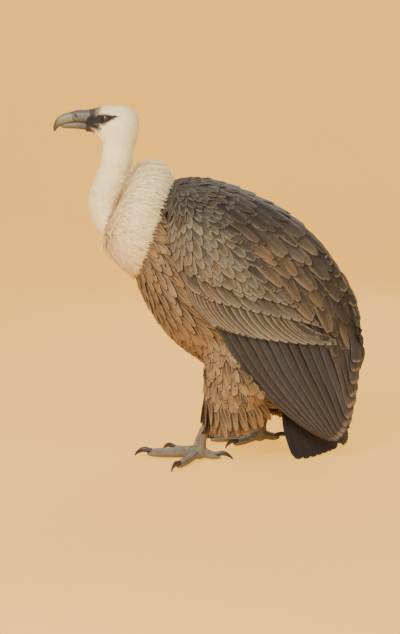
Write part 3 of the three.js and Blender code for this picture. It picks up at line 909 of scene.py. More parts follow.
# The fans of a wing: where each folded feather leaves and where its tip lies, in the side view, and the
# feathers' sizes. The coverts' lines run from front to back. The quills' run from back to front, and the
# rearmost quills lie on top.
FANS = {
    "greater": dict(
        roots=[(-34, 402), (-12, 403), (16, 406), (72, 399), (132, 380), (165, 360)],
        tips=[(39, 310), (62, 302), (105, 291), (157, 281), (231, 269), (296, 260)],
        count=20, bow=0.10, width=22, low=-8, lift=10, tilt=2.4, kind="quill"),
    "median": dict(
        roots=[(-44, 436), (-20, 430), (31, 418), (97, 400), (167, 380), (221, 358)],
        tips=[(4, 378), (34, 364), (94, 350), (160, 333), (230, 314), (284, 292)],
        count=17, bow=0.06, width=27, low=-6.5, lift=6, tilt=2.0, kind="round", camber=0.16),
    "upper": dict(
        roots=[(-52, 486), (-24, 474), (28, 456), (84, 440), (132, 424), (178, 404)],
        tips=[(-12, 426), (24, 404), (80, 386), (138, 369), (188, 353), (238, 334)],
        count=15, bow=0.06, width=26, low=-5.5, lift=6, tilt=2.0, kind="round", camber=0.16),
    "back": dict(
        roots=[(224, 532), (258, 486), (306, 396), (320, 336)],
        tips=[(288, 456), (319, 398), (346, 304), (346, 250)],
        count=8, bow=0.05, width=36, low=-2, lift=7, tilt=2.4, kind="round", camber=0.16, flat=0.6),
    "quills": dict(
        roots=[(318, 330), (270, 338), (206, 345), (140, 347), (80, 345), (24, 340)],
        tips=[(334, 208), (332, 134), (324, 70), (313, 47), (304, 44), (297, 46)],
        count=16, bow=np.linspace(-0.07, 0.07, 16), width=40, low=-9, lift=6 + 15 * np.linspace(1, 0, 16),
        tilt=5.0, kind="blunt", flat=0.3),
}
# Below this line, (x from, x to) and (z from, z to), the quills show and no scapular starts.
LAST_COVERTS = ((260, 340), (336, 306))


def wing(side):
    """Scapulars, coverts and folded quills of one wing."""
    form, sign = wing_forms[side], SIGN[side]
    surface = Sheet(form, sign)
    covert = lambda t, place, bird: mixed(LESSER, GREY_COVERT, smoothstep(-75, -15, behind_line(bird)) * 0.9)
    over = lambda tip: tip[:, 2] - np.interp(tip[:, 0], *np.array(FANS["upper"]["tips"], float).T)
    above_quills = lambda tip: tip[:, 2] > np.interp(tip[:, 0], *LAST_COVERTS)
    olive = lambda f: varied(mixed(GREATER, MEDIAN, 0.5), len(f), 0.13)
    paler = lambda f: varied(MEDIAN * 1.6, len(f), 0.08)
    tracts = [
        tract(surface, rows=-0.05 + 0.47 * np.linspace(0, 1, 18) ** 1.15, span=lambda t: (-0.02, 0.92),
              pitch=lambda t: 9 + 26 * min(max(t, 0.0), 0.3),
              length=by_row(lambda t: 26 + 140 * np.clip(t, 0, 0.27)),
              width=by_row(lambda t: 12 + 46 * np.clip(t, 0, 0.27)), kind="oval", low=-4.5, lift=6.5,
              tint=covert,
              rim=LESSER * 1.6, controls=WING_LIE,
              keep=lambda tip: (behind_line(tip) < 60) & (over(tip) > 2)),
        tract(surface, rows=[0.005, 0.02, 0.04, 0.06, 0.08], span=lambda t: (0.3, 1.0), pitch=11, length=44,
              width=19,
              kind="oval", low=-1, lift=7, tint=MANTLE, rim=LESSER, controls=WING_LIE),
        tract(surface, rows=np.linspace(0.02, 0.60, 11), span=lambda t: (0.36 if t < 0.46 else 0.76, 1.02),
              pitch=lambda t: 16 + 7 * float(smoothstep(0.02, 0.2, t)),
              length=by_row(lambda t: 66 + 58 * smoothstep(0.02, 0.25, t)),
              width=by_row(lambda t: 22 + 15 * smoothstep(0.02, 0.25, t)), kind="oval", low=-3, lift=8,
              tint=scapular_colour, rim=lambda t, place, bird: scapular_colour(t, place, bird) * 1.7,
              controls=WING_LIE, keep=lambda tip: (behind_line(tip) > -14) & above_quills(tip)),
    ]
    tracts += [fan(form, sign, tint=olive, rim=paler, **FANS[name]) for name in ("greater", "median",
                                                                                 "upper")]
    tracts.append(fan(form, sign, tint=lambda f: varied(MANTLE, len(f), 0.1),
                      rim=lambda f: varied(MEDIAN * 1.4, len(f), 0.08), **FANS["back"]))
    for number, part in enumerate(tracts):
        in_band(part, number / len(tracts), 1 / len(tracts))
    kept(joined(f"wing_coverts_{side}", tracts), VANES, "covert_feathers")
    # partly painted highlight: the quills' pale sides stand for the light along each quill's edge, while the
    # tawny tips of the rear quills are their own colour
    ends = lambda f: mixed(QUILL * 2.6, QUILL_TIP, smoothstep(0.9, 0.1, f) * 0.9)
    quills = fan(form, sign, tint=lambda f: varied(mixed(QUILL, QUILL * 0.85, f), len(f), 0.10),
                 rim=lambda f: varied(ends(f), len(f), 0.08), **FANS["quills"])
    kept(joined(f"flight_feathers_{side}", [quills]), QUILL_VANES, "quill_feathers", f"quills_{side}")


def scapular_colour(t, _, bird):
    """Tawny along the front of the tract, olive behind it and dark along the back, with some of each among
    the rest."""
    back = behind_line(bird) + random.normal(0, 14, len(t))
    colour = mixed(SCAPULAR, mixed(LESSER, MANTLE, 0.45), smoothstep(25, 70, back))
    return mixed(colour, MANTLE * 0.9,
                 np.maximum(smoothstep(85, 135, back), smoothstep(530, 565, bird[:, 2])))


def tail():
    """Twelve tail feathers fanned out and pressed on the floor, with a notch between the two halves."""
    count = 12
    shares = (np.arange(count) + 0.5) / count
    reach = 0.99 - 0.13 * np.exp(-((shares - 0.66) / 0.055) ** 2) - 0.10 * (np.abs(shares - 0.5) * 2) ** 4
    rows = len(QUILL_ALONG)
    centre = np.empty((count, rows, 3))
    for i, u in enumerate(shares):
        one, other = spline(TAIL_ONE, QUILL_ALONG * reach[i]), spline(TAIL_OTHER, QUILL_ALONG * reach[i])
        raised = spline(TAIL_BULGE, QUILL_ALONG) * math.sin(math.pi * u) ** 0.8 - 3.5
        centre[i] = to_row(one + (other - one) * u + TAIL_OUTWARD * raised[:, None])
    centre[..., 2] = np.maximum(centre[..., 2], 0.0012)
    heading = unit(np.gradient(centre, axis=1))
    across = unit(np.gradient(centre, axis=0))
    normal = unit(np.cross(across, heading))
    normal *= np.sign((normal * TAIL_OUTWARD).sum(-1, keepdims=True))
    over = 2.2 * (1 - np.abs(shares * 2 - 1))
    part = long_vanes(centre, normal, heading, width=36, kind="rectrix", low=over, lift=0.3,
                      tint=varied(TAIL, count, 0.08), rim=varied(TAIL * 1.5, count, 0.08), camber=0.03,
                      ragged=0.02)
    kept(joined("tail_feathers", [part]), QUILL_VANES, "quill_feathers", "tail")


breast()
thighs()
vent()
mantle()
for each in SIDES:
    wing(each)
tail()


# ------------------------------------------------------------------ down
DOWN_ALONG = np.array([0, 0.4, 0.75, 1.0])
DOWN_HALF = np.array([0.7, 1.0, 0.75, 0.12])
TUFT_PATCH = 0.003


def tufts(points, normals, ways, length, width, stand, curl, tint, root_shade_tint, patches, blades, spread):
    """Down: several thin blades from each root. stand is a blade's angle from the skin in degrees at its
    root, and curl how far it lies down again towards its tip. The root colour is painted shade that each
    blade darkens to towards its root."""
    given = (points, normals, ways, length, width, stand, curl, tint, root_shade_tint, patches)
    points, normals, ways, length, width, stand, curl, tint, root_shade_tint, patches = (
        np.repeat(v if np.ndim(v) else np.full(len(points), float(v)), blades, axis=0) for v in given)
    count = len(points)
    length = length * (0.7 + 0.6 * random.random(count)) / 1000
    ways = swung(unit(ways - normals * (ways * normals).sum(-1, keepdims=True)), normals, spread)
    angle = np.radians(stand * (0.8 + 0.4 * random.random(count)))
    turn = np.radians(curl)
    steps = np.diff(DOWN_ALONG, prepend=0.0)
    slope = angle[:, None] - turn[:, None] * DOWN_ALONG[None, :]
    out = np.cumsum(np.sin(slope) * steps, 1) * length[:, None]
    ahead = np.cumsum(np.cos(slope) * steps, 1) * length[:, None]
    side = np.cross(normals, ways)
    sway = random.normal(0, 0.10, count)[:, None] * DOWN_ALONG[None, :] ** 2 * length[:, None]
    centre = (points[:, None] + normals[:, None] * (out - 0.0004)[..., None] + ways[:, None]
              * ahead[..., None]
              + side[:, None] * sway[..., None])
    half = (DOWN_HALF[None, :] * width[:, None] / 2000)[..., None]
    place = np.stack([centre - side[:, None] * half, centre + side[:, None] * half], 2)
    rows = len(DOWN_ALONG)
    vane = grid_places(DOWN_ALONG, np.array([-1, 1.0]), random.random(count))
    small = np.broadcast_arrays(np.array([0, 1]) * TUFT_PATCH, DOWN_ALONG[:, None] * TUFT_PATCH)
    uv = patches[:, None, None, :2] + np.stack(small, -1)
    return dict(points=place.reshape(-1, 3), quads=grid_quads(count, rows, 2), uv=uv.reshape(-1, 2),
                vane=vane, barb=np.zeros(count * rows * 2), tint=opaque(tint, rows * 2),
                rim=opaque(root_shade_tint, rows * 2))


def strewn(surface, low, high, gap, step=0.02):
    """Roots strewn over a round surface about gap mm apart, with the way towards a later row (or an earlier
    one)."""
    count = int(surface.length * (high - low) / gap)
    roots = laid_rows(surface, low + (high - low) * (np.arange(count) + 0.5 * random.random(count)) / count,
                      lambda t: (-math.pi, math.pi), gap)
    t, _, points, normals, patches = unpack(roots)
    loose = random.normal(0, gap / 3500, (len(points), 3))
    loose -= normals * (loose * normals).sum(-1, keepdims=True)
    return t, points + loose, normals, headings(surface, roots, step), patches


def eye_patch(bird):
    """1 in the dark wedge that runs from the bill through the eye to a point behind it."""
    x, _, z = bird.T
    ahead = smoothstep(-170, -206, x)
    middle = 736 - 6 * ahead - 3 * smoothstep(-206, -236, x)
    half = 1.6 + 9.4 * ahead - 1.5 * smoothstep(-210, -236, x)
    return (1 - smoothstep(0.6, 1.5, np.abs(z - middle) / half)) * smoothstep(-166, -174, x)


def from_gape(bird):
    """How far places lie above or below the line of the mouth's corner, in mm."""
    return np.abs(bird[:, 2] - 714 - (bird[:, 0] + 216) * -0.32)


def face_shade(bird):
    """1 where the face is bare and dark, in front of and round the eye, 0 where white down covers it."""
    x, _, z = bird.T
    forehead = smoothstep(-202, -224, x) * smoothstep(722, 734, z)
    chin = smoothstep(-218, -234, x) * smoothstep(696, 706, z)
    gape = smoothstep(-204, -216, x) * (1 - smoothstep(4, 9, from_gape(bird)))
    return np.clip(np.maximum.reduce([eye_patch(bird), forehead, chin, gape]), 0, 1)


FACE_THINNING = 0.62  # the share of the tufts that the dark face does without
LID_CLEAR = 11  # no tuft stands nearer than this to the middle of the eye


def head_down():
    """Short down on the head and neck, shortest on the face."""
    surface = Round(head_form, HEAD_LOW, HEAD_HIGH, reach=0.15)
    t, points, normals, ways, patches = strewn(surface, 0.05, 1.02, gap=2.7)
    bird = to_bird(points)
    bare = face_shade(bird)
    use = random.random(len(bare)) > smoothstep(0.35, 1.0, bare) * FACE_THINNING
    use &= np.hypot(bird[:, 0] - EYE_PLACE[0], bird[:, 2] - EYE_PLACE[2]) > LID_CLEAR
    values = (t, points, normals, ways, patches, bird, bare)
    t, points, normals, ways, patches, bird, bare = (v[use] for v in values)
    length = (5 + 8 * smoothstep(0.35, 0.7, t)) * (1 - 0.4 * bare)
    tint = mixed(DOWN, mixed(FACE * 1.2, FACE * 0.4, eye_patch(bird)), smoothstep(0.15, 0.7, bare))
    tint = varied(tint, len(points), 0.05, 0.03)
    # the root colour is painted shade
    part = tufts(points, normals, ways, length, width=1.15, stand=20, curl=20, tint=tint,
                 root_shade_tint=mixed(tint, DOWN_ROOT_SHADE, 0.3), patches=patches, blades=3, spread=22)
    kept(joined("head_down", [part]), DOWN_MATERIAL, "down")


def ruff_down():
    """Long loose down of the ruff round the neck's base."""
    surface = Round(ruff_form, RUFF_LOW, RUFF_HIGH)
    t, points, normals, ways, patches = strewn(surface, 0.0, 0.98, gap=4.3, step=-0.03)
    edge = smoothstep(0.55, 0.95, t)
    tint = varied(RUFF, len(points), 0.06, 0.03)
    length = 24 + 9 * random.random(len(points))
    # the root colour is painted shade
    part = tufts(points, normals, ways, length, width=1.4, stand=30 + 22 * edge, curl=40, tint=tint,
                 root_shade_tint=mixed(tint, DOWN_ROOT_SHADE, 0.5), patches=patches, blades=5, spread=27)
    kept(joined("ruff_down", [part]), DOWN_MATERIAL, "down")


head_down()
ruff_down()


# ------------------------------------------------------------------ bill
UPPER_LOW = [(-229, 718), (-243, 722), (-258, 723), (-272, 722), (-283, 719), (-291, 718), (-298, 716),
             (-302, 713), (-306, 709), (-309.5, 704)]
UPPER_HIGH = [(-233, 751), (-244, 750), (-257, 750), (-271, 747), (-284, 744), (-296, 739), (-305, 732),
              (-310, 723), (-312.5, 714), (-311.5, 705)]
UPPER_HALF = [16.5, 16, 15, 13.5, 12, 10.5, 8.5, 6.2, 4, 1.6]
LOWER_LOW = [(-226, 706), (-242, 708), (-257, 710), (-272, 711), (-286, 711.5), (-297, 714)]
LOWER_HIGH = [(-222, 722), (-241, 727), (-257, 728), (-274, 726), (-288, 723), (-300, 718.5)]
LOWER_HALF = [12, 12.2, 11.6, 10.2, 8.2, 4]
# Where the cere ends at the culmen, how far it leans back for each mm down, and how high the culmen is there.
CERE_EDGE, CERE_LEAN, CULMEN_TOP = -273, 0.28, 749
NOSTRIL = (-262, 738)
NOSTRIL_HALF = (1.9, 6.2)
NOSTRIL_LEAN = 0.42


def shell(low, high, half, squareness, steps, around):
    """Points of a tapering shell round a line, in the bird's frame: (steps, around, 3), with each point's
    angle."""
    t = np.linspace(0, 1, steps)
    a, b, width = spline(low, t), spline(high, t), spline(half, t)
    angle = np.linspace(0, 2 * math.pi, around, endpoint=False)
    c = np.sign(np.cos(angle)) * np.abs(np.cos(angle)) ** squareness
    across = np.sign(np.sin(angle)) * np.abs(np.sin(angle)) ** squareness
    middle, up = (a + b) / 2, (b - a) / 2
    closing = np.clip((1 - t) * 14, 0, 1) ** 0.5
    points = np.empty((steps, around, 3))
    points[..., 0] = middle[:, None, 0] + up[:, None, 0] * c[None, :] * closing[:, None]
    points[..., 1] = width[:, None] * across[None, :] * closing[:, None]
    points[..., 2] = middle[:, None, 1] + up[:, None, 1] * c[None, :] * closing[:, None]
    return points, np.broadcast_to(angle, (steps, around))


def horn_material():
    """Horn with fine streaks along the bill."""
    n = Nodes("horn")
    place = n.new("ShaderNodeMapping")
    n.put(place.inputs["Vector"], n.new("ShaderNodeTexCoord").outputs["Object"])
    n.put(place.inputs["Scale"], (60, 60, 420))
    streak = n.ramp(n.noise(1.0, place.outputs[0], 3.0), 0.35, 0.7)
    tint = n.attribute("tint")
    colour = n.mix(n.maths("MULTIPLY", streak, 0.28), tint, n.mix(0.65, tint, (0.02, 0.02, 0.015)))
    n.bump(n.noise(1.0, place.outputs[0], 3.0), 0.15, 0.0004)
    return n.finish(colour, 0.42, Specular_IOR_Level=0.35)


def bill():
    """Horn with its culmen and hooked tip, the cere with the nostrils, and the lower half."""
    steps, around = 72, 56
    points, angle = shell(UPPER_LOW, UPPER_HIGH, UPPER_HALF, 0.86, steps, around)
    x, y, z = points[..., 0], points[..., 1], points[..., 2]
    border = x - (CERE_EDGE + (CULMEN_TOP - z) * CERE_LEAN)
    cere = smoothstep(-1.5, 1.5, border)
    groove = np.exp(-(border / 1.3) ** 2)
    lean = (x - NOSTRIL[0]) - (NOSTRIL[1] - z) * NOSTRIL_LEAN
    nostril = np.exp(-(lean / NOSTRIL_HALF[0]) ** 4
                     - ((z - NOSTRIL[1]) / NOSTRIL_HALF[1]) ** 4) * (np.abs(y) > 4)
    middle = points.mean(1, keepdims=True)
    out = unit(points - middle)
    under = -np.cos(angle) * 0.5 + 0.5
    edge = smoothstep(0.72, 0.93, under) * (1 - smoothstep(0.93, 1.0, under))
    swell = cere * 0.55 - groove * 0.7 - nostril * 3.2
    points = points + out * swell[..., None]
    tint = mixed(HORN.reshape(1, 3), CERE, cere.reshape(-1, 1))
    tint = mixed(tint, HORN * 1.25, (smoothstep(0.75, 1.0, np.cos(angle)) * (1 - cere) * 0.5).reshape(-1, 1))
    tint = mixed(tint, CLAW * 1.3, (smoothstep(-297, -308, x) * 0.75).reshape(-1, 1))
    # painted shade: darker in the nostrils, in the groove along the cere's edge and along the upper bill's
    # cutting edge
    tint = mixed(tint, BILL_CREASE_SHADE * 0.8,
                 np.maximum.reduce([nostril, groove * 0.75, edge * 0.55]).reshape(-1, 1))
    material = horn_material()
    quads = grid_quads(1, steps, around, closed=True)
    kept(painted("bill_upper_horn", points.reshape(-1, 3), quads, tint), material, "horn", "bill_upper")
    steps, around = 48, 48
    points, angle = shell(LOWER_LOW, LOWER_HIGH, LOWER_HALF, 0.8, steps, around)
    x = points[..., 0]
    rim = smoothstep(0.1, 0.5, np.cos(angle))
    tint = mixed(CERE * 0.85, HORN * 0.75, smoothstep(-250, -268, x))
    # painted shade: the top of the lower bill is darkened where the upper bill overhangs it
    tint = mixed(tint, BILL_CREASE_SHADE * 0.8, rim * 0.8)
    quads = grid_quads(1, steps, around, closed=True)
    kept(painted("bill_lower_horn", points.reshape(-1, 3), quads, tint), material, "horn", "bill_lower")


bill()

# ------------------------------------------------------------------ eyes
EYE_IRIS = ink(88, 52, 38)
PUPIL_ANGLE, IRIS_ANGLE = 19, 44  # degrees from the middle of the cornea
CORNEA_RISE = 0.7
LID_HALF = (9.6, 7.5)
BROW_SHARE = 0.84  # the upper lid is flatter than the lower one
LID_THICK = 2.1
LID_TILT = 0.07
LID_OUT = 6.9


def eyes():
    """Dark brown eyes, with a cornea that stands a little proud of the ball."""
    steps, around = 40, 48
    n = Nodes("eye")
    material = n.finish(n.attribute("tint"), 0.08, Specular_IOR_Level=0.35, Coat_Weight=0.35,
                        Coat_Roughness=0.03)
    for side in SIDES:
        sign = SIGN[side]
        polar = np.linspace(0.001, math.radians(150), steps)
        turn = np.linspace(0, 2 * math.pi, around, endpoint=False)
        radius = EYE_RADIUS - 0.35 + CORNEA_RISE * (1 - smoothstep(20, 48, np.degrees(polar)))
        points = np.stack([radius[:, None] * np.sin(polar)[:, None] * np.cos(turn)[None],
                           np.broadcast_to((sign * radius * np.cos(polar))[:, None], (steps, around)),
                           radius[:, None] * np.sin(polar)[:, None] * np.sin(turn)[None] * sign], -1)
        points = points + np.array([EYE_PLACE[0], sign * -EYE_PLACE[1], EYE_PLACE[2]])
        degrees = np.broadcast_to(np.degrees(polar)[:, None], (steps, around)).reshape(-1, 1)
        streaks = 1 + 0.18 * np.sin(turn * 23 + 2 * np.sin(turn * 7))[None, :] * np.ones((steps, 1))
        iris = EYE_IRIS.reshape(1, 3) * streaks.reshape(-1, 1)
        tint = mixed(np.full((1, 3), 0.004), iris, smoothstep(PUPIL_ANGLE - 1.5, PUPIL_ANGLE + 1.5, degrees))
        tint = mixed(tint, EYE_IRIS * 0.25, smoothstep(IRIS_ANGLE - 14, IRIS_ANGLE, degrees))
        obj = painted(f"eyeball_{side}", points, grid_quads(1, steps, around, closed=True), tint)
        kept(obj, material, "eye", f"eye_{side}")


eyes()


# ------------------------------------------------------------------ the skin
def tube_ring(centre, half, thick, sign, tilt, around=36, round_about=12):
    """A closed ring in a plane that faces sideways, as (points, quads) in the bird's frame."""
    turn = np.linspace(0, 2 * math.pi, around, endpoint=False)
    small = np.linspace(0, 2 * math.pi, round_about, endpoint=False)
    out = np.stack([np.cos(turn), np.sin(turn)], -1)
    line = out * np.array(half) * np.where(out[:, 1:] > 0, [1, BROW_SHARE], [1, 1])
    points = np.empty((around, round_about, 3))
    reach = thick * np.cos(small)
    points[..., 0] = line[:, None, 0] + out[:, None, 0] * reach
    points[..., 2] = line[:, None, 1] + out[:, None, 1] * reach + tilt * line[:, None, 0]
    points[..., 1] = sign * thick * np.sin(small)[None, :]
    i, j = np.meshgrid(np.arange(around), np.arange(round_about), indexing="ij")
    ni, nj = (i + 1) % around, (j + 1) % round_about
    quads = np.stack([i * round_about + j, ni * round_about + j, ni * round_about + nj,
                      i * round_about + nj], -1).reshape(-1, 4)
    return points.reshape(-1, 3) + np.array(centre), quads[:, ::-1] if sign < 0 else quads


def lump(centre, half, tilt):
    """An egg-shaped swelling that lies along the head, as (points, quads)."""
    turn, polar = np.meshgrid(np.linspace(0, 2 * math.pi, 16, endpoint=False),
                              np.linspace(0.05, math.pi - 0.05, 12))
    place = np.stack([np.cos(polar), np.sin(polar) * np.cos(turn), np.sin(polar) * np.sin(turn)],
                     -1) * np.array(half)
    place[..., 2] += tilt * place[..., 0]
    return place.reshape(-1, 3) + np.array(centre), grid_quads(1, 12, 16, closed=True)


COLLAR_AT, COLLAR_LEAN = (-232.5, 729), 0.12
COLLAR_HALF = (21.0, 23.0, 15.6)  # upwards, downwards and sideways
COLLAR_THICK = 2.1
COLLAR_LONG = 2.7  # how much longer its section is along the bill than across


def collar():
    """The soft fold where the skin meets the bill's base."""
    turn = np.linspace(0, 2 * math.pi, 40, endpoint=False)
    small = np.linspace(0, 2 * math.pi, 10, endpoint=False)
    high, aside = np.cos(turn), np.sin(turn)
    half = np.where(high > 0, COLLAR_HALF[0], COLLAR_HALF[1])
    ring = np.stack([COLLAR_AT[0] - COLLAR_LEAN * (COLLAR_AT[1] + 22 - (COLLAR_AT[1] + high * half)),
                     COLLAR_HALF[2] * aside, COLLAR_AT[1] + high * half], -1)
    out = unit(ring - np.array([COLLAR_AT[0], 0, COLLAR_AT[1]])) * [0, 1, 1]
    points = ring[:, None] + COLLAR_THICK * (out[:, None] * np.cos(small)[None, :, None]
                                             + np.array([-1.0, 0, 0]) * np.sin(small)[None, :, None]
                                             * COLLAR_LONG)
    quads = grid_quads(1, 41, 10, closed=True) % 400
    return points.reshape(-1, 3), quads


# Swellings that become part of the skin: (middle, half sizes, tilt). Those round an eye are set from its lid.
EYE_LUMPS = {"brow": ((-2, -1.6, 9.0), (17, 4.4, 2.8), 0.10), "lore": ((-19, -9, 2), (13, 5, 6), 0.0),
             "gape": ((-17, -8, -17), (15, 4.0, 2.2), -0.34),
             "jaw": ((-20, -10, -24), (15, 4.5, 2.6), -0.30)}
CHIN = ((-228, 0, 706), (12, 9, 4.5), -0.45)
FOREHEAD = ((-225, 0, 747.5), (12, 10, 4.0), 0.12)


def face_solids():
    """Lids, brows and cheeks, which become part of the skin."""
    for sign in (-1, 1):
        eye = np.array([EYE_PLACE[0], sign * (26.2 + LID_OUT), EYE_PLACE[2]])
        yield tube_ring(eye, LID_HALF, LID_THICK, sign, LID_TILT)
        for (back, out, up), half, tilt in EYE_LUMPS.values():
            yield lump(eye + np.array([back, sign * out, up]), half, tilt)
    yield collar()
    yield lump(*CHIN)
    yield lump(*FOREHEAD)


BODY_DEPTH, NECK_DEPTH, HEAD_DEPTH, FOOT_DEPTH = 8.0, 4.0, 1.1, 0.3  # how far the skin lies inside the solids
SKIN_SHARE = 0.2  # the share of its faces that the skin keeps where the coat hides it


def skin():
    """One skin under the whole coat, sunk by the depth of what grows on it."""
    rough = united(FLESH, voxel=0.0028, rounds=10)
    bm = bmesh.new()
    bm.from_mesh(rough)
    for place, quads in face_solids():
        corners = [bm.verts.new(p) for p in to_row(place)]
        for quad in quads:
            bm.faces.new([corners[k] for k in quad])
    rough.clear_geometry()
    bm.to_mesh(rough)
    bm.free()
    mesh = remeshed(rough, voxel=0.0017, rounds=3)
    points, normals = arrays(mesh)
    bird = to_bird(points)
    high = bird[:, 2]
    head = (bird[:, 0] < -100) & (high > 665)
    depth = np.full(len(points), BODY_DEPTH)
    front = (bird[:, 0] < -100) & (high > 470)
    depth[front] = NECK_DEPTH - 2.8 * smoothstep(540, 660, high[front])
    depth[head] = HEAD_DEPTH * (1 - face_shade(bird[head]))
    depth[high < 62] = FOOT_DEPTH
    mesh.vertices.foreach_set("co", (points - normals * depth[:, None] / 1000).astype(np.float32).ravel())
    mesh.update()
    tint = np.tile(BREAST * 0.55, (len(points), 1))
    tint = mixed(tint, MANTLE * 0.6, smoothstep(0, 40, behind_line(bird)) * (high > 150))
    tint = mixed(tint, MANTLE * 0.7, smoothstep(540, 570, high) * smoothstep(-90, -70, bird[:, 0]))
    tint = mixed(tint, DOWN * 0.9, smoothstep(-70, -100, bird[:, 0]) * smoothstep(380, 420, high))
    near = (high > 660) & (bird[:, 0] < -150)
    # painted shade: a thin dark line along the crease of the mouth; the dark patch round the eye is the
    # face's own colour
    line = (1 - smoothstep(0.9, 2.2, from_gape(bird))) * smoothstep(-210, -216, bird[:, 0])
    dark = np.maximum(eye_patch(bird), line)
    tint = mixed(tint, mixed(FACE * 1.3, FACE * 0.34, dark), face_shade(bird) * near)
    tint = mixed(tint, SHANK, smoothstep(110, 90, high))
    bare = np.maximum(face_shade(bird) * near, smoothstep(130, 90, high))
    mesh.attributes.new("bare", "FLOAT", "POINT").data.foreach_set("value", bare.astype(np.float32))
    colour = mesh.attributes.new("tint", "FLOAT_COLOR", "POINT").data
    colour.foreach_set("color", opaque(tint).astype(np.float32).ravel())
    obj = bpy.data.objects.new("skin", mesh)
    bpy.context.scene.collection.objects.link(obj)
    covered = obj.vertex_groups.new(name="covered")
    hidden = np.nonzero((high > 100) & ~(head & (bird[:, 0] < -160)))[0]
    covered.add(hidden.tolist(), 1.0, "REPLACE")
    fewer = obj.modifiers.new("fewer", "DECIMATE")
    fewer.ratio = SKIN_SHARE
    fewer.vertex_group = "covered"
    final = bpy.data.meshes.new_from_object(obj.evaluated_get(bpy.context.evaluated_depsgraph_get()))
    obj.modifiers.clear()
    obj.data = final
    final.polygons.foreach_set("use_smooth", np.ones(len(final.polygons), bool))
    kept(obj, skin_material(), "bare_skin", *FLESH)


def skin_material():
    """Skin with blotches, and fine scales where it is bare."""
    n = Nodes("skin")
    tone = n.attribute("tint")
    blotch = n.ramp(n.noise(90.0), 0.3, 0.7)
    scales = n.new("ShaderNodeTexVoronoi", feature="DISTANCE_TO_EDGE")
    n.put(scales.inputs["Vector"], n.new("ShaderNodeTexCoord").outputs["Object"])
    n.put(scales.inputs["Scale"], 330.0)
    cell = n.ramp(scales.outputs["Distance"], 0.02, 0.16)
    colour = n.mix(n.maths("MULTIPLY", blotch, 0.25), tone, n.mix(0.5, tone, BLACK))
    gaps = n.maths("MULTIPLY", n.maths("SUBTRACT", 1.0, cell),
                   n.maths("MULTIPLY", n.attribute("bare", "Fac"), 0.4))
    colour = n.mix(gaps, colour, n.mix(0.6, tone, BLACK))
    n.bump(n.maths("ADD", n.maths("MULTIPLY", cell, 0.7), n.noise(420.0, detail=2.0)), 0.5, 0.0007)
    return n.finish(colour, 0.7, Specular_IOR_Level=0.3)


skin()

# ------------------------------------------------------------------ feet
# A toe's heading from straight ahead, its length, its claw's length and its thickness, as in part.mjs.
TOE_SIZES = {"hind": (172, 44, 33, 0.92), "inner": (-38, 74, 31, 1.0), "middle": (-7, 112, 33, 1.08),
             "outer": (58, 84, 28, 0.95)}
TOE_RADIUS = 10.5
CLAW_RADIUS = 5.6
CLAW_FLAT = 0.8  # a claw's width for each mm of its height
SHANK_PATH = [(66, 12, 150), (34, 8, 100), (6, 2, 56), (-1, 0, 22)]
PLATE_ALONG = np.array([0.0, 0.3, 0.75, 0.95, 1.0])
PLATE_HEIGHT = np.array([-0.5, 0.25, 0.85, 0.75, -0.3])
PLATE_ACROSS = np.linspace(-1, 1, 9)
foot_forms = {side: Form([n for n in FEET if side in n], 0.0016, 8) for side in SIDES}


def toe_places(side, toe, places):
    """Places along a toe, given as (how far out, how high)."""
    sign, back = SIGN[side], 0 if side == "left" else STRIDE
    turn = math.radians(TOE_SIZES[toe][0])
    ahead = np.array([-math.cos(turn), sign * math.sin(turn), 0])
    start = np.array([back - 2, sign * FOOT_SPREAD, 0.0])
    return start + ahead * np.array(places)[:, :1] + np.array([0, 0, 1.0]) * np.array(places)[:, 1:], ahead


def claws():
    """Curved claws, blunt and worn at their tips."""
    steps, around = 30, 22
    n = Nodes("claw")
    material = n.finish(n.attribute("tint"), 0.38, Specular_IOR_Level=0.4)
    for side in SIDES:
        rings, tints = [], []
        for toe, (_, length, claw, thick) in TOE_SIZES.items():
            r, c = TOE_RADIUS * thick, CLAW_RADIUS * thick
            path, ahead = toe_places(side, toe, [(length - 7, r + 2.5), (length + 0.3 * claw, r + 5.5),
                                                 (length + 0.72 * claw, r - 0.5),
                                                 (length + 0.94 * claw, 1.6)])
            t = np.linspace(0, 1, steps)
            line = spline(path, t)
            radius = spline([c, c, 0.62 * c, 0.9], t) * np.clip((1 - t) * 16, 0.1, 1) ** 0.5
            way = unit(np.gradient(line, axis=0))
            aside = unit(np.cross(np.array([0, 0, 1.0]), ahead))
            up = unit(np.cross(way, aside))
            up *= np.sign(up[:, 2:])
            angle = np.linspace(0, 2 * math.pi, around, endpoint=False)
            round_it = (aside * np.cos(angle)[None, :, None] * CLAW_FLAT
                        + up[:, None] * np.sin(angle)[None, :, None])
            ring = line[:, None] + round_it * radius[:, None, None]
            ring[..., 2] = np.maximum(ring[..., 2], 0.25)
            rings.append(ring.reshape(-1, 3))
            tints.append(mixed(CLAW * 1.7, CLAW, smoothstep(0.1, 0.55, np.repeat(t, around))))
        quads = grid_quads(len(rings), steps, around, closed=True)
        obj = painted(f"claws_{side}", np.concatenate(rings), quads, np.concatenate(tints))
        kept(obj, material, "claw", *(f"claw_{side}_{toe}" for toe in TOES))


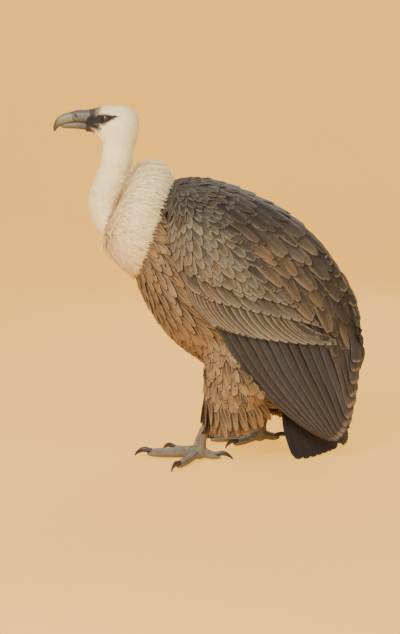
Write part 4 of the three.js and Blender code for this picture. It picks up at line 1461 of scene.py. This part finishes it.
def plates(form, path, facing, count, reach, span):
    """Overlapping scutes along a path. facing is the middle of each plate's outward side and reach its half
    width in degrees."""
    marks = np.linspace(*span, count + 1)
    out = []
    for k in range(count):
        t = marks[k] + (marks[k + 1] - marks[k]) * PLATE_ALONG * 1.25
        line = spline(path, t)
        way = unit(spline(path, t + 0.01) - spline(path, t - 0.01))
        up = unit(facing - way * (way * facing).sum(-1, keepdims=True))
        side = np.cross(way, up)
        plate = np.empty((len(t), len(PLATE_ACROSS), 3))
        whole = True
        for i in range(len(t)):
            for j, share in enumerate(PLATE_ACROSS):
                angle = math.radians(reach) * share
                outward = up[i] * math.cos(angle) + side[i] * math.sin(angle)
                place, _ = form.hit(to_row(line[i] + outward * 34), -outward)
                whole = whole and place is not None
                if whole:
                    plate[i, j] = place + outward * (PLATE_HEIGHT[i] - 0.5 * abs(share) ** 3) / 1000
        if whole and np.ptp(to_bird(plate.reshape(-1, 3)), axis=0).max() < 34:
            out.append(plate)
    return out


def scutes():
    """Rows of scutes down the front of each shank and along the top of each toe."""
    material = scute_material()
    for side in SIDES:
        sign, back = SIGN[side], 0 if side == "left" else STRIDE
        found = []
        for toe, (_, length, _, thick) in TOE_SIZES.items():
            r = TOE_RADIUS * thick
            path, _ = toe_places(side, toe, [(8, 17), (0.3 * length, 14), (0.62 * length, r - 0.3),
                                             (0.93 * length, 0.9 * r - 0.3), (length + 5, 0.8 * r)])
            found += plates(foot_forms[side], path, np.array([0, 0, 1.0]), int(length / 6.2), 58,
                            (0.10, 0.97))
        shank = np.array(SHANK_PATH, float) * [1, sign, 1] + [back, sign * FOOT_SPREAD, 0]
        found += plates(foot_forms[side], shank, np.array([-1.0, 0, 0]), 12, 62, (0.30, 0.93))
        count, (rows, columns) = len(found), found[0].shape[:2]
        vane = grid_places(PLATE_ALONG, PLATE_ACROSS, random.random(count))
        tint = varied(SHANK, count, 0.10, 0.05)
        u = (np.arange(count) % 10 / 10)[:, None, None] + (PLATE_ACROSS[None, None, :] * 0.5 + 0.5) * 0.09
        v = (np.arange(count) // 10 / 10)[:, None, None] + PLATE_ALONG[None, :, None] * 0.09
        uv = np.stack(np.broadcast_arrays(u, v), -1)
        obj = mesh_of(f"scutes_{side}", np.array(found), grid_quads(count, rows, columns), uv,
                      [("vane", "FLOAT_VECTOR", vane),
                       ("tint", "FLOAT_COLOR", opaque(tint, rows * columns))])
        kept(obj, material, "bare_skin")


def scute_material():
    """Grey scutes with darker edges."""
    n = Nodes("scute")
    aside, along, _ = n.vane()
    edge = n.maths("MAXIMUM", n.ramp(n.maths("ABSOLUTE", aside), 0.75, 1.0), n.ramp(along, 0.80, 0.98))
    tone = n.attribute("tint")
    colour = n.mix(n.maths("MULTIPLY", edge, 0.7), tone, n.mix(0.8, tone, (0.01, 0.008, 0.006)))
    return n.finish(colour, 0.55, Specular_IOR_Level=0.35)


claws()
scutes()
